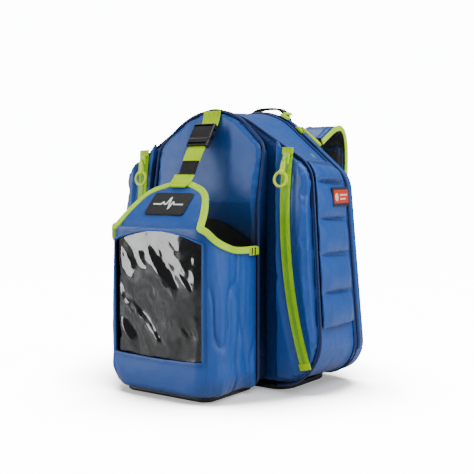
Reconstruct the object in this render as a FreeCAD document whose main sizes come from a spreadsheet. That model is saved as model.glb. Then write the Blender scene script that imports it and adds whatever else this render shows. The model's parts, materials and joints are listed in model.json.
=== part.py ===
import FreeCAD, Part
import math
import os
from FreeCAD import Placement, Rotation, Vector

# Trauma backpack: a padded front shell with a clear-windowed pouch and two zipped
# side wings, and a padded back door with shoulder straps that zips onto it.
# +Z is up, the pouch faces -Y, the straps +Y, and the origin is under the pack's middle.

doc = FreeCAD.newDocument("trauma_backpack")
sheet = doc.addObject("Spreadsheet::Sheet", "Sheet")

SIZES = [
    # shell: overall planes and outline
    ("front_plane", -53), ("zip_plane", 86), ("door_inner", 86.6), ("door_outer", 112),
    ("base_height", 10), ("shell_wall", 6), ("quilt_depth", 5),
    ("front_base_half", 237), ("front_shoulder_half", 211), ("front_shoulder_height", 402),
    ("front_apex", 533), ("front_apex_radius", 158), ("front_base_radius", 90),
    ("rear_base_half", 232), ("rear_shoulder_half", 195.7), ("rear_shoulder_height", 382),
    ("rear_apex", 548.7), ("rear_apex_radius", 130), ("rear_base_radius", 65),
    ("shoulder_radius", 60),
    # front tier, wings and pouch
    ("tier_half", 123), ("tier_plane", -93), ("tier_top", 503), ("tier_straight", 437),
    ("tier_apex", 545.6), ("tier_apex_radius", 125),
    ("wing_inner", 131), ("wing_rim", -62), ("wing_bulge", 15),
    ("pouch_half", 119), ("pouch_front", -222.5), ("pouch_wall", 4), ("pouch_radius", 38),
    ("pouch_floor", 10.4), ("pouch_rim", 296), ("pouch_side_rim", 259),
    ("flap_half", 97), ("flap_top_height", 374), ("flap_top_plane", -145),
    ("window_half", 96), ("window_low", 74), ("window_high", 268), ("window_crown", 288),
    ("window_gauge", 1.2), ("binding_width", 12), ("binding_gauge", 1.6),
    # webbing and side-release buckle
    ("webbing_width", 38), ("webbing_gauge", 2.4), ("strap_tilt", 33.5),
    ("strap_start_y", -82), ("strap_start_z", 474),
    ("buckle_width", 47), ("buckle_length", 34), ("buckle_gauge", 11.5),
    ("plate_gauge", 2.3), ("prong_gauge", 5.6),
    # zippers
    ("tape_width", 20), ("zip_end", 62), ("tape_gauge", 1.2), ("chain_width", 6), ("chain_height", 2.2),
    ("slider_width", 12), ("slider_length", 17), ("slider_height", 4.5),
    ("ring_radius", 12.5), ("ring_wire", 1.7), ("pull_width", 9), ("pull_length", 22),
    ("pull_gauge", 3), ("boss_radius", 4.6), ("eye_radius", 2.9),
    # door, pads and harness
    ("sheet_gauge", 2), ("pad_depth", 15), ("harness_half", 62),
    ("harness_width", 66), ("harness_gauge", 13), ("handle_gauge", 4), ("handle_width", 20),
    ("handle_half", 50), ("handle_foot", 478), ("handle_crest", 516),
]
for row, (alias, value) in enumerate(SIZES, start=1):
    sheet.set("A%d" % row, alias)
    sheet.set("B%d" % row, str(value))
    sheet.setAlias("B%d" % row, alias)
doc.recompute()

GAP = 0.4           # clearance between pieces that meet
parts = []


def size(alias):
    return float(sheet.get(alias))


# ---------------------------------------------------------------- outline helpers

def rounded(points, radii):
    """Lines and tangent arcs of a closed outline with each corner rounded."""
    count = len(points)
    starts, ends, mids = [], [], []
    for i in range(count):
        corner = points[i]
        before = (points[i - 1] - corner).normalize()
        after = (points[(i + 1) % count] - corner).normalize()
        half_angle = before.getAngle(after) / 2
        reach = radii[i] / math.tan(half_angle)
        middle = (before + after).normalize()
        starts.append(corner + before * reach)
        ends.append(corner + after * reach)
        mids.append(corner + middle * (radii[i] / math.sin(half_angle) - radii[i]))
    edges = []
    for i in range(count):
        if radii[i] > 0:
            edges.append(Part.Arc(starts[i], mids[i], ends[i]))
        if ends[i].distanceToPoint(starts[(i + 1) % count]) > 1e-4:
            edges.append(Part.LineSegment(ends[i], starts[(i + 1) % count]))
    return edges


def inset(points, distance):
    """The same convex outline, counter-clockwise, moved inwards by a distance."""
    count = len(points)
    moved = []
    for i in range(count):
        before = (points[i] - points[i - 1]).normalize()
        after = (points[(i + 1) % count] - points[i]).normalize()
        normal_before = Vector(-before.y, before.x, 0)
        normal_after = Vector(-after.y, after.x, 0)
        bisector = (normal_before + normal_after).normalize()
        moved.append(points[i] + bisector * (distance / bisector.dot(normal_after)))
    return moved


def dome(prefix, inward=0):
    """The shell's domed outline: splayed sides, shoulders and a rounded apex."""
    base = size("base_height")
    side = size(prefix + "_base_half")
    shoulder = size(prefix + "_shoulder_half")
    height = size(prefix + "_shoulder_height")
    points = [
        Vector(-side, base, 0), Vector(side, base, 0), Vector(shoulder, height, 0),
        Vector(0, size(prefix + "_apex"), 0), Vector(-shoulder, height, 0),
    ]
    radii = [size(prefix + "_base_radius")] * 2 + [size("shoulder_radius")]
    radii += [size(prefix + "_apex_radius"), size("shoulder_radius")]
    return rounded(inset(points, inward), [r - inward for r in radii])


def rectangle(low_x, low_y, high_x, high_y, radius=0.0):
    points = [Vector(low_x, low_y, 0), Vector(high_x, low_y, 0)]
    points += [Vector(high_x, high_y, 0), Vector(low_x, high_y, 0)]
    return rounded(points, [radius] * 4)


# ---------------------------------------------------------------- feature helpers

def origin_plane(body, role):
    return [f for f in body.Origin.OriginFeatures if f.Role == role][0]


def new_body(label):
    body = doc.addObject("PartDesign::Body", label)
    body.Label = label
    parts.append(body)
    return body


def new_sketch(body, role, edges, offset=None):
    sketch = body.newObject("Sketcher::SketchObject", body.Label + "_outline")
    sketch.AttachmentSupport = [(origin_plane(body, role), "")]
    sketch.MapMode = "FlatFace"
    sketch.addGeometry(edges, False)
    if offset:
        sketch.setExpression(".AttachmentOffset.Base.z", offset)
    return sketch


def pad(body, role, edges, length, offset=None, backwards=False, midplane=False):
    """Add a pad of an outline on one of the body's origin planes."""
    feature = body.newObject("PartDesign::Pad", body.Label + "_pad")
    feature.Profile = new_sketch(body, role, edges, offset)
    feature.setExpression("Length", length)
    feature.Reversed = backwards
    feature.Midplane = midplane
    return feature


def fillet(body, radius, chosen):
    """Round the edges that a test picks on the body's last feature."""
    doc.recompute()
    base = body.Tip
    names = ["Edge%d" % (i + 1) for i, edge in enumerate(base.Shape.Edges) if chosen(edge)]
    feature = body.newObject("PartDesign::Fillet", body.Label + "_fillet")
    feature.Base = (base, names)
    feature.setExpression("Radius", radius)
    return feature


def loft(body, sections, cut=False):
    """Ruled loft through outlines given as (edges, offset expression) on XZ."""
    kind = "PartDesign::SubtractiveLoft" if cut else "PartDesign::AdditiveLoft"
    sketches = [new_sketch(body, "XZ_Plane", edges, offset) for edges, offset in sections]
    feature = body.newObject(kind, body.Label + "_loft")
    feature.Profile = sketches[0]
    feature.Sections = sketches[1:]
    feature.Ruled = True
    return feature


def feature(label, shape, placement=None):
    """A sub-part whose shape comes from Part's own functions."""
    item = doc.addObject("Part::Feature", label)
    item.Label = label
    item.Shape = shape
    if placement:
        item.Placement = placement
    parts.append(item)
    return item


def block(label, sizes, corner, rotation=None):
    """A Part::Box whose length, width and height are sheet expressions."""
    box = doc.addObject("Part::Box", label)
    box.Label = label
    for name, expression in zip(("Length", "Width", "Height"), sizes):
        box.setExpression(name, str(expression))
    box.Placement = Placement(corner, rotation or Rotation())
    parts.append(box)
    return box


def prism(edges, axis, low, high):
    """Solid between two planes: an outline given in XY, XZ or YZ, pushed along axis."""
    face = Part.Face(Part.Wire(Part.__sortEdges__([e.toShape() for e in edges])))
    if axis == "y":
        face.rotate(Vector(), Vector(1, 0, 0), 90)
        face.translate(Vector(0, low, 0))
        return face.extrude(Vector(0, high - low, 0))
    if axis == "x":
        face.rotate(Vector(), Vector(1, 1, 1), 120)
        face.translate(Vector(low, 0, 0))
        return face.extrude(Vector(high - low, 0, 0))
    face.translate(Vector(0, 0, low))
    return face.extrude(Vector(0, 0, high - low))


def ribbon(points, gauge, width, centre=0.0):
    """A band of even gauge along a smooth side view (y, z), width across X."""
    line = [Vector(y, z, 0) for y, z in points]
    sides = ([], [])
    for i, point in enumerate(line):
        ahead = line[min(i + 1, len(line) - 1)] - line[max(i - 1, 0)]
        normal = Vector(-ahead.y, ahead.x, 0).normalize()
        sides[0].append(point + normal * (gauge / 2))
        sides[1].append(point - normal * (gauge / 2))
    curves = []
    for side in sides:
        curve = Part.BSplineCurve()
        curve.interpolate(side)
        curves.append(curve)
    ends = [Part.LineSegment(sides[0][k], sides[1][k]) for k in (0, -1)]
    return prism(curves + ends, "x", centre - width / 2, centre + width / 2)


def mirrored(shape):
    return shape.mirror(Vector(), Vector(1, 0, 0))


def both_sides(name, shape_right):
    """One node on each side of the pack, mirrored about its middle plane."""
    feature(name + "_right", shape_right)
    feature(name + "_left", mirrored(shape_right))


# ---------------------------------------------------------------- front shell

def shell_section(prefix, plane, inward):
    return dome(prefix, inward), "-(%s)" % plane


def main_shell():
    """Padded shell, open at the back, under the quilted sides."""
    quilt = size("quilt_depth")
    body = new_body("main_shell")
    loft(body, [shell_section("front", "Sheet.front_plane", quilt),
                shell_section("rear", "Sheet.zip_plane", quilt)])
    inner = quilt + size("shell_wall")
    loft(body, [shell_section("front", "Sheet.front_plane + Sheet.shell_wall", inner),
                shell_section("rear", "Sheet.zip_plane + 1", inner)], cut=True)


def outline_solid(inward, low, high):
    """Loft between the shell's front and rear outlines, clipped to a range of Y."""
    wires = []
    for prefix, plane in (("front", "front_plane"), ("rear", "zip_plane")):
        edges = [e.toShape() for e in dome(prefix, inward)]
        wire = Part.Wire(Part.__sortEdges__(edges))
        wire.rotate(Vector(), Vector(1, 0, 0), 90)
        wire.translate(Vector(0, size(plane), 0))
        wires.append(wire)
    solid = Part.makeLoft(wires, True, True)
    return solid.common(Part.makeBox(600, high - low, 600, Vector(-300, low, -20)))


def side_quilts():
    """Quilted pads that cover the shell's sides, proud of the plain fabric."""
    low = size("front_plane") + 6
    high = size("zip_plane") - size("tape_width") / 2 - 3
    ring = outline_solid(0, low, high)
    ring = ring.cut(outline_solid(size("quilt_depth") - GAP, low - 1, high + 1))
    both_sides("side_quilt", ring.common(Part.makeBox(200, 400, 290, Vector(120, -200, 118))))


def base():
    """Tarpaulin boots under the shell and the pouch."""
    body = new_body("base_boot")
    outline = rectangle(-190, size("front_plane") - 5, 190, size("door_outer"), 40)
    pad(body, "XY_Plane", outline, "Sheet.base_height - 0.4")
    fillet(body, "4", lambda e: e.BoundBox.ZMax < 0.1)
    boot = new_body("pouch_boot")
    outline = rectangle(-96, size("pouch_front") + 18, 96, size("front_plane") - 6, 24)
    pad(boot, "XY_Plane", outline, "Sheet.base_height - 0.4")
    fillet(boot, "4", lambda e: e.BoundBox.ZMax < 0.1)


def dividers():
    """Two padded shelves that stack the main compartment."""
    for name, height, half in (("divider_lower", 168, 190), ("divider_upper", 300, 178)):
        body = new_body(name)
        low = size("front_plane") + size("shell_wall") + 1
        outline = rectangle(-half, low, half, size("zip_plane") - 18, 12)
        pad(body, "XY_Plane", outline, "8", offset=str(height))


def wing_face():
    """Side-view solid whose front is the wing's bulging face."""
    crown = size("wing_rim") - size("wing_bulge")
    back = size("front_plane") - GAP
    half_chord = (CHORD_TOP.z - CHORD_LOW.z) / 2
    middle = (CHORD_TOP.z + CHORD_LOW.z) / 2
    reach = 230
    edge = crown + size("wing_bulge") * (reach / half_chord) ** 2
    top, bottom = Vector(edge, middle + reach, 0), Vector(edge, middle - reach, 0)
    arc = Part.Arc(bottom, Vector(crown, middle, 0), top)
    inner_top, inner_bottom = Vector(back, top.y, 0), Vector(back, bottom.y, 0)
    lines = [Part.LineSegment(top, inner_top), Part.LineSegment(inner_top, inner_bottom)]
    lines.append(Part.LineSegment(inner_bottom, bottom))
    return prism([arc] + lines, "x", -300, 300)


def wing_pockets():
    """Stuffed zipped pockets either side of the front tier."""
    outline = prism(dome("front"), "y", -120, size("front_plane") - GAP)
    shape = outline.common(wing_face())
    shape = shape.common(Part.makeBox(200, 300, 440, Vector(size("wing_inner"), -200, 15)))
    both_sides("wing_pocket", shape)


def front_tier():
    """Padded front panel with an arched top, leaning back above the pouch."""
    half, top, straight = size("tier_half"), size("tier_top"), size("tier_straight")
    low = size("base_height") + 0.4
    outline = [Vector(-half, low, 0), Vector(half, low, 0), Vector(half, straight, 0),
               Vector(0, size("tier_apex"), 0), Vector(-half, straight, 0)]
    radii = [20, 20, 36, size("tier_apex_radius"), 36]
    front, back = size("tier_plane"), size("front_plane") - GAP
    side = [Vector(front, low, 0), Vector(back, low, 0), Vector(back, top + 4, 0),
            Vector(back - 7, top + 2, 0), Vector(front, 335, 0)]
    tier = prism(rounded(outline, radii), "y", -130, 0)
    feature("front_panel", tier.common(prism(rounded(side, [8, 0, 0, 4, 60]), "x", -300, 300)))


# ---------------------------------------------------------------- pouch

def pouch_outline(inward):
    half, back = size("pouch_half") - inward, size("tier_plane") - GAP
    front = size("pouch_front") + inward
    radius = size("pouch_radius") - inward
    points = [Vector(-half, front, 0), Vector(half, front, 0)]
    points += [Vector(half, back, 0), Vector(-half, back, 0)]
    return rounded(points, [radius, radius, 0, 0])


def window_outline(grow):
    half, low = size("window_half") + grow, size("window_low") - grow
    side, crown = size("window_high") + grow, size("window_crown") + grow
    arch = Part.Arc(Vector(half, side, 0), Vector(0, crown, 0), Vector(-half, side, 0))
    sag = Part.Arc(Vector(-half, low, 0), Vector(0, low - 3, 0), Vector(half, low, 0))
    right = Part.LineSegment(Vector(half, low, 0), Vector(half, side, 0))
    left = Part.LineSegment(Vector(-half, side, 0), Vector(-half, low, 0))
    return [sag, right, arch, left]


def pouch():
    """Open-topped pouch for a defibrillator, with a window cut in its front."""
    wall, floor, rim = size("pouch_wall"), size("pouch_floor"), size("pouch_rim")
    outer = prism(pouch_outline(0), "z", floor, rim)
    outer = outer.makeFillet(10, [e for e in outer.Edges if e.BoundBox.ZMax < floor + 0.1
                                  and e.BoundBox.YMin < size("tier_plane") - 5])
    hollow = prism(pouch_outline(wall), "z", floor + wall, rim + 1)
    back = Part.makeBox(2 * (size("pouch_half") - wall), wall + 5, rim,
                        Vector(wall - size("pouch_half"), size("tier_plane") - wall - 5,
                               floor + wall))
    front = size("pouch_front")
    window = prism(window_outline(0), "y", front - 5, front + wall + 5)
    side, back_plane = size("pouch_side_rim"), size("tier_plane") + 10
    sweep = Part.BSplineCurve()
    sweep.interpolate([Vector(front + 6, rim + 1, 0), Vector(front + 18, side + 20, 0),
                       Vector(front + 40, side + 9, 0), Vector(front + 70, side + 2, 0),
                       Vector(back_plane, side, 0)])
    corner = Vector(back_plane, rim + 1, 0)
    lid = [Part.LineSegment(sweep.EndPoint, corner), Part.LineSegment(corner, sweep.StartPoint)]
    cut = prism([sweep] + lid, "x", -200, 200)
    feature("pouch_body", outer.cut(hollow).cut(back).cut(window).cut(cut))


def clear_window():
    """Clear vinyl sheet behind the pouch's front opening."""
    near = size("pouch_wall") + GAP
    low, high = size("window_low") - 20, size("window_crown") + 20
    sheet_solid = prism(pouch_outline(near), "z", low, high)
    sheet_solid = sheet_solid.cut(prism(pouch_outline(near + size("window_gauge")), "z",
                                        low - 1, high + 1))
    front = prism(window_outline(4), "y", size("pouch_front"), size("pouch_front") + 40)
    feature("clear_window", sheet_solid.common(front))


def flap_front(inward=0.0):
    """The flap's arched front view, its edge moved inwards by a distance."""
    half, low, top = size("flap_half"), size("pouch_rim") + GAP, size("flap_top_height")
    right = [(half, low), (half - 9, low + 25), (half - 30, low + 57), (half - 63, top - 7)]
    outline = right + [(0, top)] + [(-x, z) for x, z in reversed(right)]
    narrowed, lowered = 1 - inward / half, 1 - inward / (top - low)
    outline = [Vector(x * narrowed, low + (z - low) * lowered, 0) for x, z in outline]
    edge = Part.BSplineCurve()
    edge.interpolate(outline)
    return prism([edge, Part.LineSegment(outline[-1], outline[0])], "y", -300, 0)


def flap_line():
    """Lower and upper end of the flap's outer face in side view (y, z)."""
    low = Vector(size("pouch_front"), size("pouch_rim") - 2, 0)
    return low, Vector(size("flap_top_plane"), size("flap_top_height") + 2, 0)


def flap_slab(proud, gauge):
    """Leaning slab between the pouch's rim and the strap, in side view."""
    low, high = flap_line()
    along = (high - low).normalize()
    inward = Vector(along.y, -along.x, 0)
    corners = [low - along * 20 - inward * proud, high + along * 20 - inward * proud]
    corners += [c + inward * gauge for c in reversed(corners)]
    return prism(rounded(corners, [0] * 4), "x", -300, 300)


def flap():
    """Leaning flap that closes the pouch, its bound edge and its blank name patch."""
    feature("pouch_flap", flap_front().common(flap_slab(0, size("pouch_wall"))))
    band = flap_front().cut(flap_front(size("binding_width")))
    proud = size("binding_gauge") + 0.3
    feature("pouch_binding", band.common(flap_slab(proud, size("binding_gauge"))))
    low, high = flap_line()
    turn = Rotation(Vector(1, 0, 0), -math.degrees(math.atan2(high.x - low.x, high.y - low.y)))
    corner = Vector(0, low.x, low.y) + turn.multVec(Vector(-42, -1.5 - GAP, 28))
    block("id_patch", ("84", "1.5", "50"), corner, turn)


def pouch_tabs():
    """Bar-tacked tabs where the bound rim meets the front tier."""
    half, side = size("pouch_half"), size("pouch_side_rim")
    shape = Part.makeBox(1.8, 24, 12, Vector(half + 0.3, size("tier_plane") - 26, side - 12))
    feature("rim_tabs", Part.makeCompound([shape, mirrored(shape)]))


# ---------------------------------------------------------------- strap and buckle

def strap_place(along=0.0):
    """Frame of the strap: +Z up the webbing, -Y out of its face."""
    turn = Rotation(Vector(1, 0, 0), -size("strap_tilt"))
    start = Vector(0, size("strap_start_y"), size("strap_start_z"))
    return Placement(start + turn.multVec(Vector(0, 0, -along)), turn)


def centred_block(width, depth, low, high, x=0.0, y=0.0):
    return Part.makeBox(width, depth, high - low, Vector(x - width / 2, y - depth / 2, low))


def buckle_female():
    """Two plates joined by a header bar and two guide posts, open at the mouth."""
    width, length, gauge = size("buckle_width"), size("buckle_length"), size("buckle_gauge")
    inside = gauge - 2 * size("plate_gauge")
    body = centred_block(width, gauge, -length, 0)
    body = body.makeFillet(2.5, [e for e in body.Edges if abs(e.BoundBox.ZLength) < 1
                                 or e.BoundBox.ZLength > length - 1])
    body = body.cut(centred_block(width + 10, inside, -length - 1, -10))
    body = body.cut(centred_block(size("webbing_width") + 2, 4, -7, -2, y=0).fuse(
        centred_block(size("webbing_width") + 2, gauge + 2, -7, -3)))
    for side in (-1, 1):
        body = body.fuse(centred_block(2, inside, -length + 3, -9, x=side * 9))
    feature("buckle_female", body.removeSplitter(), strap_place())


def buckle_male():
    """Base bar with its webbing slot and the centre tongue."""
    width, length, gauge = size("buckle_width"), size("buckle_length"), size("buckle_gauge")
    base = centred_block(width, gauge - 1, -length - 14, -length - 0.8)
    base = base.makeFillet(2, [e for e in base.Edges if e.BoundBox.ZLength > 10])
    base = base.cut(centred_block(size("webbing_width") + 2, gauge + 2, -length - 11,
                                  -length - 6.5))
    tongue = centred_block(12, size("prong_gauge"), -length - 1, -14)
    feature("buckle_male", base.fuse(tongue).removeSplitter(), strap_place())


def prongs():
    """Squeezable side prongs, their thumb pads standing out of the open sides."""
    length, root = size("buckle_length"), -size("buckle_length") - 0.4
    half = size("buckle_width") / 2
    depth = size("prong_gauge")
    points = [(half - 9, root), (half - 3.5, root), (half - 3.5, root + 8), (half + 1.6, root + 14),
              (half + 1.6, root + 21), (half - 4, root + length - 13), (half - 9, root + 22)]
    outline = rounded([Vector(x, z, 0) for x, z in points], [0, 0, 4, 3, 3, 2, 3])
    shape = prism(outline, "y", -depth / 2, depth / 2)
    feature("prong_right", shape, strap_place())
    feature("prong_left", mirrored(shape), strap_place())


def strap_webbing():
    """Sewn tabs and webbing that carry the buckle from the arch to the flap."""
    width, gauge = size("webbing_width"), size("webbing_gauge")
    place = strap_place()

    def at(depth, along):
        spot = place.multVec(Vector(0, depth, -along))
        return spot.y, spot.z

    loop_start, loop_end = size("buckle_length") + 14.5, 80
    tab = [(-64.2, 498), (-66.6, 489), at(7.4, -8), at(7.4, 6)]
    feature("strap_tab_top", ribbon(tab, gauge, width))
    lime = [at(0, loop_start), at(0, (loop_start + loop_end) / 2), at(0, loop_end)]
    feature("webbing_loop", ribbon(lime, gauge, width))
    black = [at(0, loop_end + 0.5), at(0, 90), at(0, 103), (-142.3, 383.5)]
    feature("lower_webbing", ribbon(black, gauge, width))
    low = [(-144.8, 382.9), (-148.6, 378.4), (-155, 371.6), (-163.4, 362.7)]
    feature("strap_tab_pouch", ribbon(low, gauge, width + 6))


# ---------------------------------------------------------------- wing zippers

CHORD_TOP = Vector(165, 0, 433)
CHORD_LOW = Vector(201, 0, 52)
SIDEWAYS = 12.5       # how far the zipper's middle swings towards the pack's middle


def wing_arc():
    """Centre, axis and middle point of the circle that the right wing's zipper follows."""
    rim = Vector(0, size("wing_rim"), 0)
    chord = CHORD_TOP - CHORD_LOW
    along = Vector(chord).normalize()
    bulge = Vector(-SIDEWAYS, -size("wing_bulge"), 0)
    bulge = bulge - along * bulge.dot(along)
    radius = chord.Length ** 2 / (8 * bulge.Length) + bulge.Length / 2
    middle = (CHORD_TOP + CHORD_LOW) / 2 + rim + bulge
    outward = Vector(bulge).normalize()
    return middle - outward * radius, outward.cross(along), middle


def along_wing(shape, angle):
    """A shape made at the arc's middle, turned along the zipper by an angle."""
    centre, axis, _ = wing_arc()
    moved = shape.copy()
    moved.rotate(centre, axis, angle)
    return moved


def wing_band(width, low, high, start, end):
    """Band along the zipper, low to high above the wing's face."""
    centre, axis, middle = wing_arc()
    corners = [(-width / 2, -low), (width / 2, -low), (width / 2, -high), (-width / 2, -high)]
    points = [middle + Vector(x, y, 0) for x, y in corners]
    face = Part.Face(Part.makePolygon(points + points[:1]))
    face.rotate(centre, axis, start)
    return face.revolve(centre, axis, end - start)


WING_END = 11.6       # the zipper runs this many degrees each way from its middle
PARKED = 10.3         # and its slider is parked this far up


def chain_top():
    """Height of the zipper chain's crest above the fabric, with clearance."""
    return 0.8 + size("tape_gauge") + size("chain_height")


def wing_zippers():
    """Tape, chain and end tabs of each wing's zipper."""
    tape, chain, low = size("tape_gauge"), size("chain_height"), chain_top()
    width, reach = size("tape_width"), WING_END - 0.4
    both_sides("wing_tape", wing_band(width, GAP, GAP + tape, -reach, reach))
    both_sides("wing_chain", wing_band(size("chain_width"), GAP + tape, GAP + tape + chain,
                                       -reach, reach))
    tabs = [wing_band(width, GAP, low + GAP, reach + 0.05, WING_END + 0.35),
            wing_band(width, GAP, low + GAP, -WING_END - 0.35, -reach - 0.05)]
    feature("zipper_end_tabs", Part.makeCompound(tabs + [mirrored(tab) for tab in tabs]))


def wing_sliders():
    """Slider, hanging pull tab and ring at the top of each wing's zipper."""
    _, _, middle = wing_arc()
    width, length, height = size("slider_width"), size("slider_length"), size("slider_height")
    low = chain_top()
    base = Part.makeBox(width, height, length,
                        middle + Vector(-width / 2, -low - height, -length / 2))
    base = base.makeFillet(1.5, [e for e in base.Edges if e.BoundBox.YMax < middle.y - low - 1])
    eye = Part.makeBox(3, 5, 9, middle + Vector(-1.5, -low - height - 4.5, -8))
    both_sides("wing_slider", along_wing(base.fuse(eye).removeSplitter(), PARKED))

    front = middle + Vector(0, -low - height - 3, 0)
    long, width, gauge = size("pull_length"), size("pull_width"), size("pull_gauge")
    blade = Part.makeBox(width, gauge, long, front + Vector(-width / 2, -gauge / 2, -2 - long))
    blade = blade.cut(Part.makeBox(width + 2, gauge + 2, 1.5,
                                   front + Vector(-width / 2 - 1, -gauge / 2 - 1, -3)))
    fork = Part.makeBox(3.8, gauge + 4, 7, front + Vector(-1.9, -gauge / 2 - 2, -9))
    eye_at = front + Vector(-width / 2, 0, -2 - long)
    boss = Part.makeCylinder(size("boss_radius"), width, eye_at, Vector(1, 0, 0))
    hole = Part.makeCylinder(size("eye_radius"), width + 2, eye_at - Vector(1, 0, 0),
                             Vector(1, 0, 0))
    pull = blade.cut(fork).fuse(boss).cut(hole).removeSplitter()
    both_sides("wing_pull", along_wing(pull, PARKED))
    ring = Part.makeTorus(size("ring_radius"), size("ring_wire"),
                          front - Vector(0, 0, 2 + long + size("ring_radius")), Vector(0, 1, 0))
    both_sides("wing_ring", along_wing(ring, PARKED))


# ---------------------------------------------------------------- main zipper

def front_band(proud_low, proud_high, depth, drop):
    """Band round the shell's own rear edge, proud of its plain fabric."""
    quilt, plane = size("quilt_depth"), size("zip_plane")
    outer = outline_solid(quilt - proud_high, plane - depth, plane)
    inner = outline_solid(quilt - proud_low, plane - depth - 1, plane + 1)
    return outer.cut(inner).common(Part.makeBox(600, 300, 600, Vector(-300, -100, drop)))


def rear_band(proud_low, proud_high, depth, drop):
    """Band round the door's front edge."""
    quilt, low = size("quilt_depth"), size("door_inner")
    outer = prism(dome("rear", quilt - proud_high), "y", low, low + depth)
    inner = prism(dome("rear", quilt - proud_low), "y", low - 1, low + depth + 1)
    return outer.cut(inner).common(Part.makeBox(600, 300, 600, Vector(-300, -100, drop)))


def main_zipper():
    """Two tapes with their chain halves round the seam of shell and door."""
    width, tape = size("tape_width") / 2, size("tape_gauge")
    half = size("chain_width") / 2
    chain_low, chain_high = 0.5 + tape, 0.5 + tape + size("chain_height")
    for name, band in (("front", front_band), ("rear", rear_band)):
        feature("main_tape_" + name, band(0.3, 0.3 + tape, width, size("zip_end")))
        feature("main_chain_" + name, band(chain_low, chain_high, half, size("zip_end")))


def slope_frame():
    """Where the rear outline's arch becomes straight, and the slope's turn about Y."""
    rise = size("rear_apex") - size("rear_shoulder_height")
    angle = math.degrees(math.atan2(rise, size("rear_shoulder_half")))
    radius = size("rear_apex_radius")
    centre_z = size("rear_apex") - radius / math.cos(math.radians(angle))
    return angle, centre_z, radius


def slider_shape(width, length, height, eye_length, eye_width):
    """Slider lying on XY, its nose towards -X and its bridge on top."""
    base = Part.makeBox(length, width, height, Vector(-length / 2, -width / 2, 0))
    base = base.makeFillet(1.5, [e for e in base.Edges if e.BoundBox.ZMin > 1])
    eye = Part.makeBox(eye_length, eye_width, 5,
                       Vector(3.5 - eye_length / 2, -eye_width / 2, height - 0.5))
    return base.fuse(eye).removeSplitter()


def main_sliders():
    """The zipper's two sliders, nose to nose, and their long pull tabs."""
    angle, centre_z, radius = slope_frame()
    width, length, height = size("slider_width"), size("slider_length"), size("slider_height")
    surface = radius - size("quilt_depth")
    lift = 0.9 + size("tape_gauge") + size("chain_height")
    plane = size("zip_plane")
    turn = Rotation(Vector(0, 1, 0), angle)
    start = Vector(0, plane, centre_z) + turn.multVec(Vector(13, 0, surface + lift))
    feature("main_slider_right", slider_shape(width, length, height, 9, 3), Placement(start, turn))
    reach, gauge = 66, size("pull_gauge")
    blade = Part.makeBox(reach, size("pull_width"), gauge,
                         Vector(0, -size("pull_width") / 2, -gauge / 2))
    blade = blade.cut(Part.makeBox(9, 3.8, 9, Vector(-2, -1.9, -4)))
    blade = blade.makeFillet(1.2, [e for e in blade.Edges if e.BoundBox.XMin > reach - 1])
    pull_at = start + turn.multVec(Vector(4, 0, height + 3))
    feature("main_pull_right", blade, Placement(pull_at, turn))
    back = Rotation(Vector(0, 1, 0), angle - 13)
    seat = Vector(0, plane, centre_z) + back.multVec(Vector(0, 0, surface + lift + 0.6))
    turn_left = back.multiply(Rotation(Vector(0, 0, 1), 180))
    feature("main_slider_left", slider_shape(width, length, height, 3, 9),
            Placement(seat, turn_left))
    short = Part.makeBox(22, size("pull_width"), gauge,
                         Vector(0, -size("pull_width") / 2, -gauge / 2))
    short = short.cut(Part.makeBox(9, 3.8, 9, Vector(-2, -1.9, -4)))
    hold = seat + back.multVec(Vector(-3.5, 0, height + 3))
    sideways = back.multiply(Rotation(Vector(0, 0, 1), 90))
    feature("main_pull_left", short, Placement(hold, sideways))


# ---------------------------------------------------------------- back door

def door():
    """Padded back door in two layers with a stiffening sheet between them."""
    quilt = size("quilt_depth")
    inner, outer = size("door_inner"), size("door_outer")
    middle = inner + 10
    layers = (("door_lining", inner, middle), ("door_back", middle + size("sheet_gauge") + 0.8,
                                               outer))
    for name, start, end in layers:
        body = new_body(name)
        pad(body, "XZ_Plane", dome("rear", quilt), str(end - start), str(-start),
            backwards=True)
    body = new_body("frame_sheet")
    pad(body, "XZ_Plane", dome("rear", quilt + 14), "Sheet.sheet_gauge",
        str(-(middle + GAP)), backwards=True)


def back_pads():
    """Two padded columns and a lumbar pad on the door's outer face."""
    face = size("door_outer") + GAP
    for side, name in ((1, "right"), (-1, "left")):
        body = new_body("back_pad_" + name)
        edges = rectangle(min(side * 18, side * 100), 158, max(side * 18, side * 100), 400, 24)
        pad(body, "XZ_Plane", edges, "Sheet.pad_depth", str(-face), backwards=True)
    body = new_body("lumbar_pad")
    pad(body, "XZ_Plane", rectangle(-66, 62, 66, 146, 24), "Sheet.pad_depth", str(-face),
        backwards=True)


def mesh_pocket():
    """Zipped mesh pocket on the door's inner face."""
    body = new_body("mesh_pocket")
    pad(body, "XZ_Plane", rectangle(-140, 120, 140, 380, 20), "11", "-(Sheet.zip_plane - 11)",
        backwards=True)


STRAP_SIDE = [(121, 446), (146, 460), (176, 474), (200, 472), (213, 448), (216, 400),
              (209, 320), (194, 240), (175, 180)]


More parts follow.
